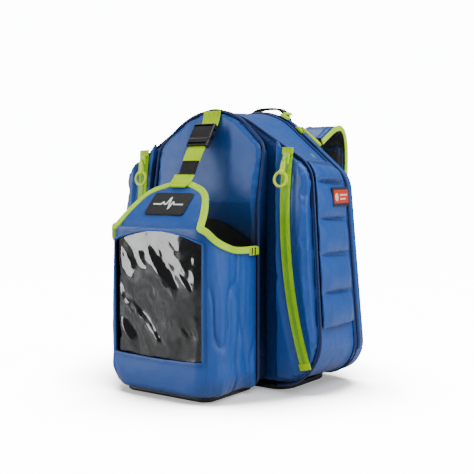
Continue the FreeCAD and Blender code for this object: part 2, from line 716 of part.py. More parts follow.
def harness():
    """Shoulder straps, lower webbing, ladder locks and their anchors."""
    gauge, width, half = size("harness_gauge"), size("harness_width"), size("harness_half")
    face = size("door_outer")
    both_sides("shoulder_strap", ribbon(STRAP_SIDE, gauge, width, half + width / 2 - 6))
    yoke = Part.makeBox(2 * (half + width) - 4, 3, 34, Vector(-(half + width) + 2, face + GAP, 404))
    feature("harness_yoke", yoke)
    lock_at = Vector(half + width / 2 - 6, 164, 160)
    lock = Part.makeBox(34, 6, 30, lock_at + Vector(-17, -3, -15))
    for offset in (-8, 3):
        lock = lock.cut(Part.makeBox(27, 10, 4.5, lock_at + Vector(-13.5, -5, offset)))
    lock.rotate(lock_at, Vector(1, 0, 0), -18)
    feature("ladder_locks", Part.makeCompound([lock, mirrored(lock)]))
    lower = [(156, 140), (146, 110), (132, 84), (118, 62)]
    both_sides("lower_strap", ribbon(lower, 2, 25, half + width / 2 - 6))
    anchor = Part.makeBox(40, 3, 30, Vector(half + width / 2 - 26, face + GAP, 42))
    feature("strap_anchors", Part.makeCompound([anchor, mirrored(anchor)]))


def grab_handle():
    """Low webbing handle that stands behind the door's top edge."""
    gauge, width, half = size("handle_gauge"), size("handle_width"), size("handle_half")
    foot, crest = size("handle_foot"), size("handle_crest")
    upper, lower = Part.BSplineCurve(), Part.BSplineCurve()
    for curve, drop in ((upper, 0), (lower, gauge)):
        side = half - drop
        curve.interpolate([Vector(-side, foot, 0), Vector(-side * 0.66, crest - 6 - drop, 0),
                           Vector(0, crest - drop, 0), Vector(side * 0.66, crest - 6 - drop, 0),
                           Vector(side, foot, 0)])
    ends = [Part.LineSegment(upper.StartPoint, lower.StartPoint),
            Part.LineSegment(upper.EndPoint, lower.EndPoint)]
    low = size("door_outer") + 0.7
    feature("grab_handle", prism([upper, lower] + ends, "y", low, low + width))


# ---------------------------------------------------------------- side label

def side_label():
    """Small woven label on the right quilt."""
    lean = Rotation(Vector(0, 0, 1), 6).multiply(Rotation(Vector(0, 1, 0), -5))
    block("side_label", ("1.2", "72", "34"), Vector(211.3, -2, 328), lean)


main_shell()
side_quilts()
base()
dividers()
wing_pockets()
front_tier()
pouch()
clear_window()
flap()
pouch_tabs()
buckle_female()
buckle_male()
prongs()
strap_webbing()
wing_zippers()
wing_sliders()
main_zipper()
main_sliders()
door()
back_pads()
mesh_pocket()
harness()
grab_handle()
side_label()

doc.recompute()
for item in doc.Objects:
    if "Invalid" in item.State or "Error" in item.State:
        raise RuntimeError("failed: %s %s" % (item.Label, item.State))
os.makedirs("parts", exist_ok=True)
for item in parts:
    shape = item.Shape
    if shape.isNull() or not shape.isValid():
        raise RuntimeError("bad shape: " + item.Label)
    box = shape.BoundBox
    print("%-20s solids %d  x %.1f %.1f  y %.1f %.1f  z %.1f %.1f  vol %.0f" % (
        item.Label, len(shape.Solids), box.XMin, box.XMax, box.YMin, box.YMax, box.ZMin,
        box.ZMax, shape.Volume))
    shape.exportStep("parts/%s.step" % item.Label)
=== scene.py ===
import json
import math

import bmesh
import bpy
import numpy as np
from mathutils import Matrix, Vector

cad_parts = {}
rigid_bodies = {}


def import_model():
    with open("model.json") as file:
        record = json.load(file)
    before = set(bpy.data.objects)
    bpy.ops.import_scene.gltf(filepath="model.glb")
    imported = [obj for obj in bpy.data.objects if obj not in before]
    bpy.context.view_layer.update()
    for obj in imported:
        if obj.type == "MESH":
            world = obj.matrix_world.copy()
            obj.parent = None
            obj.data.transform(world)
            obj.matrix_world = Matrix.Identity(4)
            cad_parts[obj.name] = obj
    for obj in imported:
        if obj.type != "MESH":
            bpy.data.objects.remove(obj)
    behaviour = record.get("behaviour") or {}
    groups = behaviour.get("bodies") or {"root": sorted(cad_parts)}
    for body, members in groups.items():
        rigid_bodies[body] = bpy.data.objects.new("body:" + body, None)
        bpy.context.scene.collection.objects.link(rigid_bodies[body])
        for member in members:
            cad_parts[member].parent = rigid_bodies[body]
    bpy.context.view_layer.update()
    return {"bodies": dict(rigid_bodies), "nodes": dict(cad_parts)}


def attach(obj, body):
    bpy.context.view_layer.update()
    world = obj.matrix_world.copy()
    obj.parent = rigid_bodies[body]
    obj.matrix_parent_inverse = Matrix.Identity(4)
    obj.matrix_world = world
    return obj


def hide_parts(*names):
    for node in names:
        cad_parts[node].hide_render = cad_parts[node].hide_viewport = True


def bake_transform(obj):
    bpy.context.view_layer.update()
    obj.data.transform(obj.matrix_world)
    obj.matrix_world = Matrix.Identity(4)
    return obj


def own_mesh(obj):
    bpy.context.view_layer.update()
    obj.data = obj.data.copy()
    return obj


# Looks of the trauma backpack. Sizes are written in millimetres, as in the CAD sheet,
# and turned into metres when a mesh is made.

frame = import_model()
NODES = frame["nodes"]
MM = 0.001

# ---------------------------------------------------------------- materials


def node(tree, kind, inputs=None, **settings):
    """Shader node with its inputs linked to sockets or set to values."""
    made = tree.nodes.new("ShaderNode" + kind)
    for key, value in settings.items():
        setattr(made, key, value)
    for key, value in (inputs or {}).items():
        if isinstance(value, bpy.types.NodeSocket):
            tree.links.new(value, made.inputs[key])
        else:
            made.inputs[key].default_value = value
    return made


def maths(tree, operation, *values):
    return node(tree, "Math", dict(enumerate(values)), operation=operation).outputs[0]


def noise_of(tree, coords, scale, detail=2.0, rough=0.5):
    values = {"Vector": coords, "Scale": scale, "Detail": detail, "Roughness": rough}
    return node(tree, "TexNoise", values).outputs["Fac"]


def remapped(tree, value, low, high, start, end):
    """A value moved from the range low to high into start to end, held at its ends."""
    span = {"From Min": low, "From Max": high, "To Min": start, "To Max": end}
    return node(tree, "MapRange", {"Value": value, **span}).outputs[0]


def blended(tree, share, colour, other):
    """A colour socket mixed with a fixed colour."""
    inputs = {0: share, 6: colour, 7: (*other, 1)}
    return node(tree, "Mix", inputs, data_type="RGBA").outputs[2]


def shades(tree, factor, *stops):
    """Colour ramp through (position, linear colour) stops."""
    ramp = node(tree, "ValToRGB", {"Fac": factor})
    elements = ramp.color_ramp.elements
    while len(elements) < len(stops):
        elements.new(0.5)
    for element, (position, colour) in zip(elements, stops):
        element.position = position
        element.color = (*colour, 1)
    return ramp.outputs["Color"]


def waves(tree, coordinate, pitch):
    """Sine ridges along one coordinate, pitch in metres."""
    return maths(tree, "SINE", maths(tree, "MULTIPLY", coordinate, 2 * math.pi / pitch))


def linear(red, green, blue):
    """Linear colour of an sRGB colour given from 0 to 255."""
    values = [c / 255 for c in (red, green, blue)]
    return tuple(c / 12.92 if c <= 0.04045 else ((c + 0.055) / 1.055) ** 2.4 for c in values)


def darker(colour, share):
    return tuple(c * share for c in colour)


def lighter(colour, share):
    return tuple(min(1.0, c * (1 + 2 * share) + 0.03 * share) for c in colour)


def surface(made, colour, roughness, height, depth, **fixed):
    """Principled surface: a colour socket, a roughness socket and a bump height socket."""
    tree = made.node_tree
    bump = node(tree, "Bump", {"Height": height, "Distance": depth, "Strength": 1.0})
    shader = node(tree, "BsdfPrincipled", {"Base Color": colour, "Roughness": roughness,
                                           "Normal": bump.outputs[0]})
    for key, value in fixed.items():
        shader.inputs[key.replace("_", " ")].default_value = value
    out = node(tree, "OutputMaterial", {"Surface": shader.outputs[0]})
    out.is_active_output = True
    return made


def new_material(name):
    made = bpy.data.materials.new(name)
    made.use_nodes = True
    made.node_tree.nodes.clear()
    return made, made.node_tree


def split(tree, coords):
    parts = node(tree, "SeparateXYZ", {"Vector": coords})
    return parts.outputs[0], parts.outputs[1], parts.outputs[2]


def fabric(name, colour, pitch=0.0011, gloss=0.5, crease=0.0006, spread=0.14, sheen=0.03,
           painted_shadow_band=None):
    """Woven cloth: threads, soft creases, worn lighter ridges, uneven dye, painted shade in its
    hollows and an optional painted shadow below a band of heights.
    """
    made, tree = new_material(name)
    coords = node(tree, "TexCoord").outputs["Object"]
    x, y, z = split(tree, coords)
    threads = maths(tree, "ADD", waves(tree, x, pitch), waves(tree, y, pitch))
    weave = maths(tree, "MULTIPLY", threads, waves(tree, z, pitch))
    broad = noise_of(tree, coords, 11, 4, 0.55)
    small = noise_of(tree, coords, 75, 5, 0.65)
    grain = noise_of(tree, coords, 700, 2, 0.6)
    mixed = maths(tree, "MULTIPLY_ADD", small, 0.35, maths(tree, "MULTIPLY", broad, 0.65))
    mixed = maths(tree, "MULTIPLY_ADD", grain, 0.12, maths(tree, "SUBTRACT", mixed, 0.06))
    tone = shades(tree, mixed, (0.3, darker(colour, 1 - spread)), (0.5, colour),
                  (0.72, lighter(colour, spread * 0.22)))
    wear = node(tree, "NewGeometry").outputs["Pointiness"]
    worn = remapped(tree, wear, 0.52, 0.6, 0.0, 0.35)
    tone = blended(tree, worn, tone, lighter(colour, 0.25))
    # Painted shade: where ambient occlusion finds a hollow or crease, the colour is mixed towards a
    # darker copy of itself.
    hollow = node(tree, "AmbientOcclusion", {"Distance": 0.06}, samples=4).outputs["AO"]
    painted_hollow_shade = remapped(tree, hollow, 0.3, 0.85, 0.8, 0.0)
    final = blended(tree, painted_hollow_shade, tone, darker(colour, 0.3))
    # Painted shadow: below the band's upper height the colour fades to nearly black at its lower
    # height.
    if painted_shadow_band:
        deep = remapped(tree, z, painted_shadow_band[0], painted_shadow_band[1], 0.93, 0.0)
        final = blended(tree, deep, final, darker(colour, 0.06))
    rough = remapped(tree, small, 0.3, 0.7, gloss - 0.07, gloss + 0.1)
    height = maths(tree, "MULTIPLY_ADD", weave, 0.06, small)
    return surface(made, final, rough, height, crease, Sheen_Weight=sheen, Sheen_Roughness=0.4,
                   Specular_IOR_Level=0.38)


# Painted light: a small emission in the webbing's own colour makes it glow brighter than the lamps
# light it.
def webbing(name, colour, pitch=0.0021, painted_glow=0.0, depth=0.0005, across=0.0032):
    """Ribbed webbing: ridges along the length (U), twill across it (V)."""
    made, tree = new_material(name)
    uv = node(tree, "UVMap").outputs[0]
    coords = node(tree, "TexCoord").outputs["Object"]
    along, over, _ = split(tree, uv)
    zigzag = maths(tree, "PINGPONG", over, across)
    ribs = waves(tree, maths(tree, "MULTIPLY_ADD", zigzag, 0.8, along), pitch)
    rows = waves(tree, over, across)
    grain = noise_of(tree, coords, 900, 2)
    broad = noise_of(tree, coords, 30, 3)
    height = maths(tree, "MULTIPLY_ADD", rows, 0.3, ribs)
    height = maths(tree, "MULTIPLY_ADD", grain, 0.5, height)
    deep = maths(tree, "MULTIPLY_ADD", height, 0.16, maths(tree, "MULTIPLY_ADD", broad, 0.5, 0.2))
    tone = shades(tree, deep, (0.2, darker(colour, 0.55)), (0.45, colour),
                  (0.75, lighter(colour, 0.18)))
    rough = maths(tree, "MULTIPLY_ADD", broad, 0.2, 0.62)
    return surface(made, tone, rough, height, depth, Specular_IOR_Level=0.1 if painted_glow else 0.3,
                   Emission_Color=(*colour, 1), Emission_Strength=painted_glow)


# Painted light: a small emission in the part's own colour makes it glow brighter than the lamps
# light it.
def moulded(name, colour, gloss=0.35, grain=1300, depth=0.00012, metallic=0.0, painted_glow=0.0):
    """Moulded plastic, rubber or cast metal: fine grain and paler worn edges."""
    made, tree = new_material(name)
    coords = node(tree, "TexCoord").outputs["Object"]
    fine = noise_of(tree, coords, grain, 3, 0.6)
    broad = noise_of(tree, coords, 45, 4)
    wear = node(tree, "NewGeometry").outputs["Pointiness"]
    worn = remapped(tree, wear, 0.51, 0.58, 0.0, 0.5)
    tone = shades(tree, broad, (0.3, darker(colour, 0.75)), (0.65, colour))
    final = blended(tree, worn, tone, lighter(colour, 0.22))
    rough = maths(tree, "MULTIPLY_ADD", broad, 0.3, gloss - 0.15)
    return surface(made, final, rough, fine, depth, Metallic=metallic,
                   Emission_Color=(*colour, 1), Emission_Strength=painted_glow)


def mesh_cloth(name, colour):
    """Open spacer mesh: small dark pits in a hexagon-like pattern."""
    made, tree = new_material(name)
    coords = node(tree, "TexCoord").outputs["Object"]
    cells = node(tree, "TexVoronoi", {"Vector": coords, "Scale": 330, "Randomness": 0.25},
                 feature="DISTANCE_TO_EDGE").outputs["Distance"]
    broad = noise_of(tree, coords, 22, 3)
    pits = remapped(tree, cells, 0.05, 0.3, 1.0, 0.0)
    mixed = maths(tree, "MULTIPLY_ADD", broad, 0.4, maths(tree, "MULTIPLY", pits, 0.6))
    tone = shades(tree, mixed, (0.2, darker(colour, 0.25)), (0.8, lighter(colour, 0.05)))
    rough = maths(tree, "MULTIPLY_ADD", broad, 0.2, 0.6)
    return surface(made, tone, rough, pits, 0.0008, Sheen_Weight=0.25)


def clear_sheet(name):
    """Thick clear vinyl with slow ripples and a few scuffs; its dark tint is painted shade,
    standing in for the dark inside of the pouch.
    """
    made, tree = new_material(name)
    coords = node(tree, "TexCoord").outputs["Object"]
    slow = noise_of(tree, coords, 17, 2, 0.35)
    scuff = noise_of(tree, coords, 160, 6, 0.75)
    rough = remapped(tree, scuff, 0.45, 0.75, 0.03, 0.14)
    # Painted shade: a near-black tint in place of the clear sheet's own colour.
    tone = shades(tree, slow, (0.3, (0.06, 0.065, 0.075)), (0.7, (0.15, 0.165, 0.19)))
    return surface(made, tone, rough, slow, 0.004, Transmission_Weight=1.0, IOR=1.5)


BLUE = linear(22, 74, 150)
LIME = (0.43, 0.68, 0.0)
NAVY = linear(22, 42, 92)
BLACK = linear(14, 15, 17)

blue_fabric = fabric("blue_fabric", BLUE, gloss=0.37, crease=0.00035, sheen=0.02)
# The front tier carries a painted shadow: nearly black at 262 mm and below, full blue from 345 mm
# up.
tier_fabric = fabric("tier_fabric", BLUE, gloss=0.4, crease=0.00035, sheen=0.02,
                     painted_shadow_band=(0.262, 0.345))
navy_fabric = fabric("navy_piping", NAVY, pitch=0.0008, gloss=0.5, crease=0.0002)
black_fabric = fabric("black_tarpaulin", BLACK, pitch=0.0014, gloss=0.42, crease=0.0005)
liner_fabric = fabric("liner_grey", linear(122, 128, 136), gloss=0.6, crease=0.0005)
# Near-black lining of the pouch and flap, also used as painted shade on the sheet behind the
# pouch's hollow.
dark_liner_and_shade = fabric("pouch_liner_and_shade", linear(10, 11, 14), gloss=0.6, crease=0.0006)
board_finish = moulded("board", linear(60, 62, 66), gloss=0.5)
black_mesh = mesh_cloth("black_mesh", linear(34, 35, 39))
# The lime webbing, binding and tape glow a little: painted light that keeps them bright and
# saturated.
lime_web = webbing("lime_webbing", LIME, painted_glow=0.2)
lime_edge = webbing("lime_binding", (0.45, 0.72, 0.02), pitch=0.0012, painted_glow=0.2,
                    depth=0.0002, across=0.0016)
tape_web = webbing("zip_tape", (0.36, 0.66, 0.0), pitch=0.0009, painted_glow=0.2, depth=0.0002,
                   across=0.0012)
black_web = webbing("black_webbing", linear(18, 19, 22))
dark_tape = webbing("dark_zip_tape", linear(20, 58, 128), pitch=0.0009, depth=0.0002,
                    across=0.0012)
# The lime zipper chain, sliders and rubber pulls glow a little too: painted light.
chain_finish = moulded("zip_chain", linear(120, 176, 40), gloss=0.4, painted_glow=0.2)
dark_chain = moulded("dark_zip_chain", linear(18, 38, 84), gloss=0.4)
thread_finish = moulded("stitching", linear(214, 240, 120), gloss=0.6, grain=3000)
dark_thread = moulded("dark_stitching", linear(16, 30, 66), gloss=0.6, grain=3000)
black_plastic = moulded("black_plastic", linear(12, 12, 14), gloss=0.42)
slider_finish = moulded("slider_metal", (0.36, 0.62, 0.0), gloss=0.38, painted_glow=0.08)
rubber = moulded("lime_rubber", (0.55, 0.7, 0.0), gloss=0.45, grain=500, painted_glow=0.2)
patch_finish = fabric("patch_black", linear(8, 8, 10), pitch=0.0007, gloss=0.5, crease=0.0002)
patch_line = moulded("patch_line", linear(232, 234, 236), gloss=0.5)
label_finish = fabric("label_red", linear(176, 44, 28), pitch=0.0006, gloss=0.5, crease=0.0001)
label_mark = fabric("label_mark", linear(214, 190, 172), pitch=0.0006, gloss=0.5, crease=0.0001)
label_edge = fabric("label_edge", linear(34, 30, 40), pitch=0.0006, gloss=0.5, crease=0.0001)
vinyl = clear_sheet("clear_vinyl")

# ---------------------------------------------------------------- numbers and noise


def noise3(points, scale, seed=0):
    """Smooth value noise from -1 to 1 at points in mm; scale is mm per cell, one or three."""
    spot = np.asarray(points, float) / np.asarray(scale, float) + seed * 17.31
    cell = np.floor(spot).astype(np.int64)
    share = spot - cell
    share = share * share * (3 - 2 * share)
    total = np.zeros(len(spot))
    for corner in range(8):
        step = np.array([corner & 1, corner >> 1 & 1, corner >> 2 & 1])
        key = ((cell + step) * np.array([374761393, 668265263, 1442695041])).sum(axis=1)
        key = (key ^ (key >> 13)) * 1274126177 & 0xFFFFFFFF
        value = (key ^ (key >> 16)) % 65536 / 32767.5 - 1
        total += value * np.where(step, share, 1 - share).prod(axis=1)
    return total


def folds(points, scale, seed=0):
    """Noise in three octaves."""
    scale = np.asarray(scale, float)
    return (noise3(points, scale, seed) + 0.5 * noise3(points, scale / 2.1, seed + 5)
            + 0.25 * noise3(points, scale / 4.3, seed + 9)) / 1.75


def ridges(points, scale, seed=0):
    """Sharp-crested creases from 0 to 1."""
    return np.clip(1 - 3.2 * np.abs(noise3(points, scale, seed)), 0, 1) ** 1.6


def unit(rows):
    rows = np.asarray(rows, float)
    return rows / np.maximum(np.linalg.norm(rows, axis=-1, keepdims=True), 1e-9)


def smooth(low, high, value):
    share = np.clip((value - low) / (high - low), 0, 1)
    return share * share * (3 - 2 * share)


def corner_path(points, radii, steps=14):
    """Closed convex outline, counter-clockwise, each corner a tangent arc of `steps` spans."""
    points = np.asarray(points, float)
    rows = []
    for i, corner in enumerate(points):
        before = unit(points[i - 1] - corner)
        after = unit(points[(i + 1) % len(points)] - corner)
        half = math.acos(np.clip(before @ after, -1, 1)) / 2
        radius = max(radii[i], 0.01)
        centre = corner + unit(before + after) * radius / math.sin(half)
        start = corner + before * radius / math.tan(half) - centre
        sweep = math.pi - 2 * half
        for k in range(steps + 1):
            c, s = math.cos(sweep * k / steps), math.sin(sweep * k / steps)
            rows.append(centre + [start[0] * c - start[1] * s, start[0] * s + start[1] * c])
    return np.array(rows)


def resample(path, step):
    """The same open path at even spacing."""
    path = np.asarray(path, float)
    reach = np.r_[0, np.cumsum(np.linalg.norm(np.diff(path, axis=0), axis=1))]
    count = max(2, int(round(reach[-1] / step)) + 1)
    where = np.linspace(0, reach[-1], count)
    return np.stack([np.interp(where, reach, path[:, k]) for k in range(path.shape[1])], 1)


def spline(points, step):
    """Catmull-Rom curve through points, at even spacing."""
    points = np.asarray(points, float)
    padded = np.vstack([2 * points[0] - points[1], points, 2 * points[-1] - points[-2]])
    rows = []
    for i in range(1, len(padded) - 2):
        a, b, c, d = padded[i - 1:i + 3]
        for t in np.linspace(0, 1, 12, endpoint=False):
            rows.append(0.5 * (2 * b + (c - a) * t + (2 * a - 5 * b + 4 * c - d) * t * t
                               + (3 * b - a - 3 * c + d) * t ** 3))
    rows.append(points[-1])
    return resample(rows, step)


def inset(points, distance):
    count = len(points)
    moved = []
    for i in range(count):
        before, after = unit(points[i] - points[i - 1]), unit(points[(i + 1) % count] - points[i])
        bisector = unit([-before[1] - after[1], before[0] + after[0]])
        moved.append(points[i] + bisector * distance / (bisector @ [-after[1], after[0]]))
    return np.array(moved)


# Half width at the base, half width and height of the shoulder, apex, apex radius, base radius.
DOMES = {"front": (237, 211, 402, 533, 158, 90), "rear": (232, 195.7, 382, 548.7, 130, 65)}
FRONT_Y, ZIP_Y = -53, 86


def dome(prefix, inward=0.0):
    """Outline (x, z) from the lower right corner up, over the apex and down the left side."""
    base, shoulder, height, apex, apex_radius, base_radius = DOMES[prefix]
    points = np.array([(base, 10), (shoulder, height), (0, apex), (-shoulder, height),
                       (-base, 10)], float)
    radii = [base_radius, 60, apex_radius, 60, base_radius]
    return corner_path(inset(points, inward), [r - inward for r in radii])


def shell_line(y, inward=0.0, low=None):
    """Line round the shell at a depth, optionally only above a height."""
    share = (y - FRONT_Y) / (ZIP_Y - FRONT_Y)
    line = dome("front", inward) * (1 - share) + dome("rear", inward) * share
    rows = resample(line, 4)
    if low is not None:
        rows = rows[rows[:, 1] >= low]
    return np.stack([rows[:, 0], np.full(len(rows), float(y)), rows[:, 1]], 1)


def outward_xz(path):
    """Outward normals of a path that runs counter-clockwise in XZ."""
    ahead = unit(np.gradient(path, axis=0))
    return unit(np.stack([ahead[:, 2], np.zeros(len(path)), -ahead[:, 0]], 1))


# ---------------------------------------------------------------- mesh helpers


def placed(name, data):
    """New object with its data, linked to the scene."""
    made = bpy.data.objects.new(name, data)
    bpy.context.scene.collection.objects.link(made)
    return made


def to_object(name, vertices, faces, uv=None, angle=40):
    """Mesh object from millimetres, shaded smooth with sharp edges above an angle."""
    mesh = bpy.data.meshes.new(name)
    mesh.from_pydata((np.asarray(vertices, float) * MM).tolist(), [], faces)
    if uv is not None:
        layer = mesh.uv_layers.new(name="UVMap")
        corners = np.empty(len(mesh.loops), int)
        mesh.loops.foreach_get("vertex_index", corners)
        layer.data.foreach_set("uv", (np.asarray(uv)[corners] * MM).ravel())
    mesh.validate()
    mesh.shade_smooth()
    mesh.set_sharp_from_angle(angle=math.radians(angle))
    return placed(name, mesh)


def dress(piece, body, finish, slot=None, replaces=(), fill=None):
    """Finish, body and replaced nodes of a piece; slot and fill are not used."""
    if not piece.data.materials:
        piece.data.materials.append(finish)
    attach(piece, body)
    if replaces:
        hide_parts(*replaces)
    return piece


def merged(name, batches):
    """One object from several (vertices, faces, uv) batches."""
    vertices, faces, uvs, base = [], [], [], 0
    for rows, quads, uv in batches:
        vertices.append(rows)
        uvs.append(uv if uv is not None else np.zeros((len(rows), 2)))
        faces += [[i + base for i in face] for face in quads]
        base += len(rows)
    return to_object(name, np.vstack(vertices), faces, np.vstack(uvs))


def put(name, batches, body, finish, slot=None, replaces=()):
    """One dressed object from several batches."""
    return dress(merged(name, batches), body, finish, slot, replaces)


def band(path, normals, profile, closed=False):
    """Sweep of a closed profile of (across, outward) points along a path."""
    path = np.asarray(path, float)
    normals = unit(np.broadcast_to(normals, path.shape))
    ahead = np.gradient(path, axis=0)
    if closed:
        ahead = np.roll(path, -1, 0) - np.roll(path, 1, 0)
    sides = unit(np.cross(unit(ahead), normals))
    profile = np.asarray(profile, float)
    if profile.ndim == 2:
        profile = np.repeat(profile[None], len(path), 0)
    rows = (path[:, None] + sides[:, None] * profile[..., :1] + normals[:, None] * profile[..., 1:])
    count, ring = rows.shape[:2]
    faces = []
    for i in range(count if closed else count - 1):
        for k in range(ring):
            here, after = i * ring, (i + 1) % count * ring
            faces.append([here + k, here + (k + 1) % ring, after + (k + 1) % ring, after + k])
    if not closed:
        faces.append(list(range(ring))[::-1])
        faces.append([(count - 1) * ring + k for k in range(ring)])
    reach = np.r_[0, np.cumsum(np.linalg.norm(np.diff(path, axis=0), axis=1))]
    across = np.cumsum(np.r_[0, np.linalg.norm(np.diff(profile[0], axis=0), axis=1)])
    uv = np.stack(np.broadcast_arrays(reach[:, None], across[None]), -1).reshape(-1, 2)
    return rows.reshape(-1, 3), faces, uv


def grid_faces(rows, columns, base=0, step=1):
    """Quads of a grid of points; step -1 turns them over."""
    faces = []
    for i in range(rows - 1):
        for k in range(columns - 1):
            a = base + i * columns + k
            faces.append([a, a + 1, a + columns + 1, a + columns][::step])
    return faces


def flat(width, gauge, low=0.0, columns=5):
    """Flat band profile with softened edges, low to low + gauge above the path."""
    half, high, soft = width / 2, low + gauge, min(gauge * 0.45, 0.9)
    top = [(x, high) for x in np.linspace(half - soft, soft - half, columns)]
    bottom = [(x, low) for x in np.linspace(soft - half, half - soft, columns)]
    return [(half, low + soft), (half, high - soft)] + top + \
           [(-half, high - soft), (-half, low + soft)] + bottom


def tube(radius, sides=8, lift=0.0):
    return [(radius * math.cos(a), lift + radius * math.sin(a))
            for a in np.linspace(0, 2 * math.pi, sides, endpoint=False)]


def beads(path, normals, pitch, half_sizes, across=0.0, lift=0.0, square=False):
    """Small stitches or zipper teeth along a path: half sizes along, across and outward."""
    path = resample(np.hstack([path, np.broadcast_to(normals, np.shape(path))]), pitch)
    spots, ups = path[:, :3], unit(path[:, 3:])
    ahead = unit(np.gradient(spots, axis=0))
    sides = unit(np.cross(ahead, ups))
    shapes = [(i, j, k) for i in (-1, 1) for j in (-1, 1) for k in (-1, 1)]
    quads = [[0, 1, 3, 2], [4, 6, 7, 5], [0, 4, 5, 1], [2, 3, 7, 6], [0, 2, 6, 4], [1, 5, 7, 3]]
    if not square:
        shapes = [(-1, 0, 0), (1, 0, 0), (0, -1, 0), (0, 1, 0), (0, 0, -1), (0, 0, 1)]
        quads = [[0, 2, 4], [0, 4, 3], [0, 3, 5], [0, 5, 2], [1, 4, 2], [1, 3, 4], [1, 5, 3],
                 [1, 2, 5]]
    shapes = np.array(shapes, float) * half_sizes
    rows = (spots + sides * across + ups * lift)[:, None]
    rows = rows + ahead[:, None] * shapes[None, :, :1] + sides[:, None] * shapes[None, :, 1:2] \
        + ups[:, None] * shapes[None, :, 2:]
    size = len(shapes)
    faces = [[i * size + k for k in quad] for i in range(len(spots)) for quad in quads]
    return rows.reshape(-1, 3), faces, None


def carried(rows, place):
    """Plane or space points of a frame's own axes, moved to where the frame is."""
    rows = np.asarray(rows, float)
    rows = np.hstack([rows, np.zeros((len(rows), 3 - rows.shape[1])), np.ones((len(rows), 1))])
    return (rows @ np.array(place).T)[:, :3]


def mirror_batch(batch):
    rows, faces, uv = batch
    return rows * [-1, 1, 1], [face[::-1] for face in faces], uv


def both(name, batches, body, finish, **extra):
    """A piece on each side, mirrored; body and replaced nodes carry the side's name."""
    for side in ("right", "left"):
        rows = batches if side == "right" else [mirror_batch(b) for b in batches]
        more = dict(extra)
        more["replaces"] = ["%s_%s" % (n, side) for n in extra.get("replaces", ())]
        home = body if body in frame["bodies"] else "%s_%s" % (body, side)
        put("%s_%s" % (name, side), rows, home, finish, **more)


# ---------------------------------------------------------------- soft pieces


def copy_of(*names):
    """New object with the joined meshes of CAD nodes."""
    build = bmesh.new()
    for name in names:
        source = NODES[name]
        mesh = source.data.copy()
        mesh.transform(source.matrix_world)
        build.from_mesh(mesh)
    bmesh.ops.remove_doubles(build, verts=build.verts, dist=1e-6)
    mesh = bpy.data.meshes.new(names[0] + "_soft")
    build.to_mesh(mesh)
    build.free()
    return placed(names[0] + "_soft", mesh)


def bake(piece):
    """Apply a piece's modifiers to its mesh."""
    bpy.context.view_layer.update()
    graph = bpy.context.evaluated_depsgraph_get()
    mesh = bpy.data.meshes.new_from_object(piece.evaluated_get(graph))
    piece.modifiers.clear()
    piece.data = mesh


def triples(items, key):
    """One vector property of every vertex or polygon."""
    rows = np.empty(len(items) * 3)
    items.foreach_get(key, rows)
    return rows.reshape(-1, 3)


def places(mesh):
    return triples(mesh.vertices, "co") / MM


def normals_of(mesh):
    return triples(mesh.vertices, "normal")


def set_places(mesh, rows):
    mesh.vertices.foreach_set("co", (rows * MM).ravel())
    mesh.update()


def remeshed(piece, voxel):
    change = piece.modifiers.new("Remesh", "REMESH")
    change.mode = "VOXEL"
    change.voxel_size = voxel * MM
    bake(piece)


SWELLING = []


def swell(piece, pressure, cap, stiff=12):
    """Queue a cloth simulation that puffs a piece up by at most cap mm."""
    SWELLING.append((piece, pressure, cap, stiff, places(piece.data)))


def run_swelling():
    """Step every queued cloth together and keep its capped result as the mesh."""
    scene = bpy.context.scene
    for piece, pressure, _, stiff, _ in SWELLING:
        cloth = piece.modifiers.new("Cloth", "CLOTH")
        cloth.settings.quality = 4
        cloth.settings.mass = 0.3
        cloth.settings.use_pressure = True
        cloth.settings.uniform_pressure_force = pressure
        cloth.settings.tension_stiffness = stiff
        cloth.settings.compression_stiffness = stiff
        cloth.settings.shear_stiffness = stiff / 3
        cloth.settings.effector_weights.gravity = 0
        cloth.collision_settings.use_collision = False
        cloth.point_cache.frame_end = 20
    for number in range(1, 21):
        scene.frame_set(number)
    for piece, _, cap, _, start in SWELLING:
        bake(piece)
        moved = places(piece.data) - start
        length = np.linalg.norm(moved, axis=1, keepdims=True)
        set_places(piece.data, start + moved * np.minimum(1, cap / np.maximum(length, 1e-6)))
    scene.frame_set(1)


def refine(piece, shape, subdivide=True):
    """Subdivide, then move points by shape(points, normals), which returns new points."""
    if subdivide:
        change = piece.modifiers.new("Smooth", "SUBSURF")
        change.levels = change.render_levels = 1
        bake(piece)
    mesh = piece.data
    set_places(mesh, shape(places(mesh), normals_of(mesh)))
    mesh.shade_smooth()


def start_soft(name, nodes, voxel, shrink):
    """Remeshed copy of CAD nodes, drawn in a little."""
    piece = copy_of(*nodes)
    piece.name = name
    remeshed(piece, voxel)
    mesh = piece.data
    if shrink:
        set_places(mesh, places(mesh) - normals_of(mesh) * shrink)
    return piece


def soft(name, source, voxel, shrink, shape, body, finish, slot, fill=None, fine=False,
         hollow=None):
    """Soft piece in place of a CAD node: remeshed, shaped and dressed.

    hollow is the middle of its inside and the finish of the faces that look there.
    """
    piece = start_soft(name, [source], voxel, shrink)
    refine(piece, shape, fine)
    if hollow:
        inner_faces(piece, hollow[0], finish, hollow[1])
    return dress(piece, body, finish, slot, [source], fill)


def mirror_copy(piece, name):
    """The same mesh on the left side."""
    mesh = piece.data.copy()
    mesh.transform(Matrix.Scale(-1, 4, (1, 0, 0)))
    mesh.flip_normals()
    return placed(name, mesh)


def inner_faces(piece, centre, outside, inside, limit=0.0):
    """Second finish on the faces that look towards a hollow's middle."""
    mesh = piece.data
    mesh.materials.append(outside)
    mesh.materials.append(inside)
    away = triples(mesh.polygons, "center") - np.array(centre) * MM
    inward = (unit(away) * triples(mesh.polygons, "normal")).sum(1) < -limit
    mesh.polygons.foreach_set("material_index", inward.astype(np.int32))
    mesh.update()


# ---------------------------------------------------------------- shapes of the pack's front

TIER_Y = -93


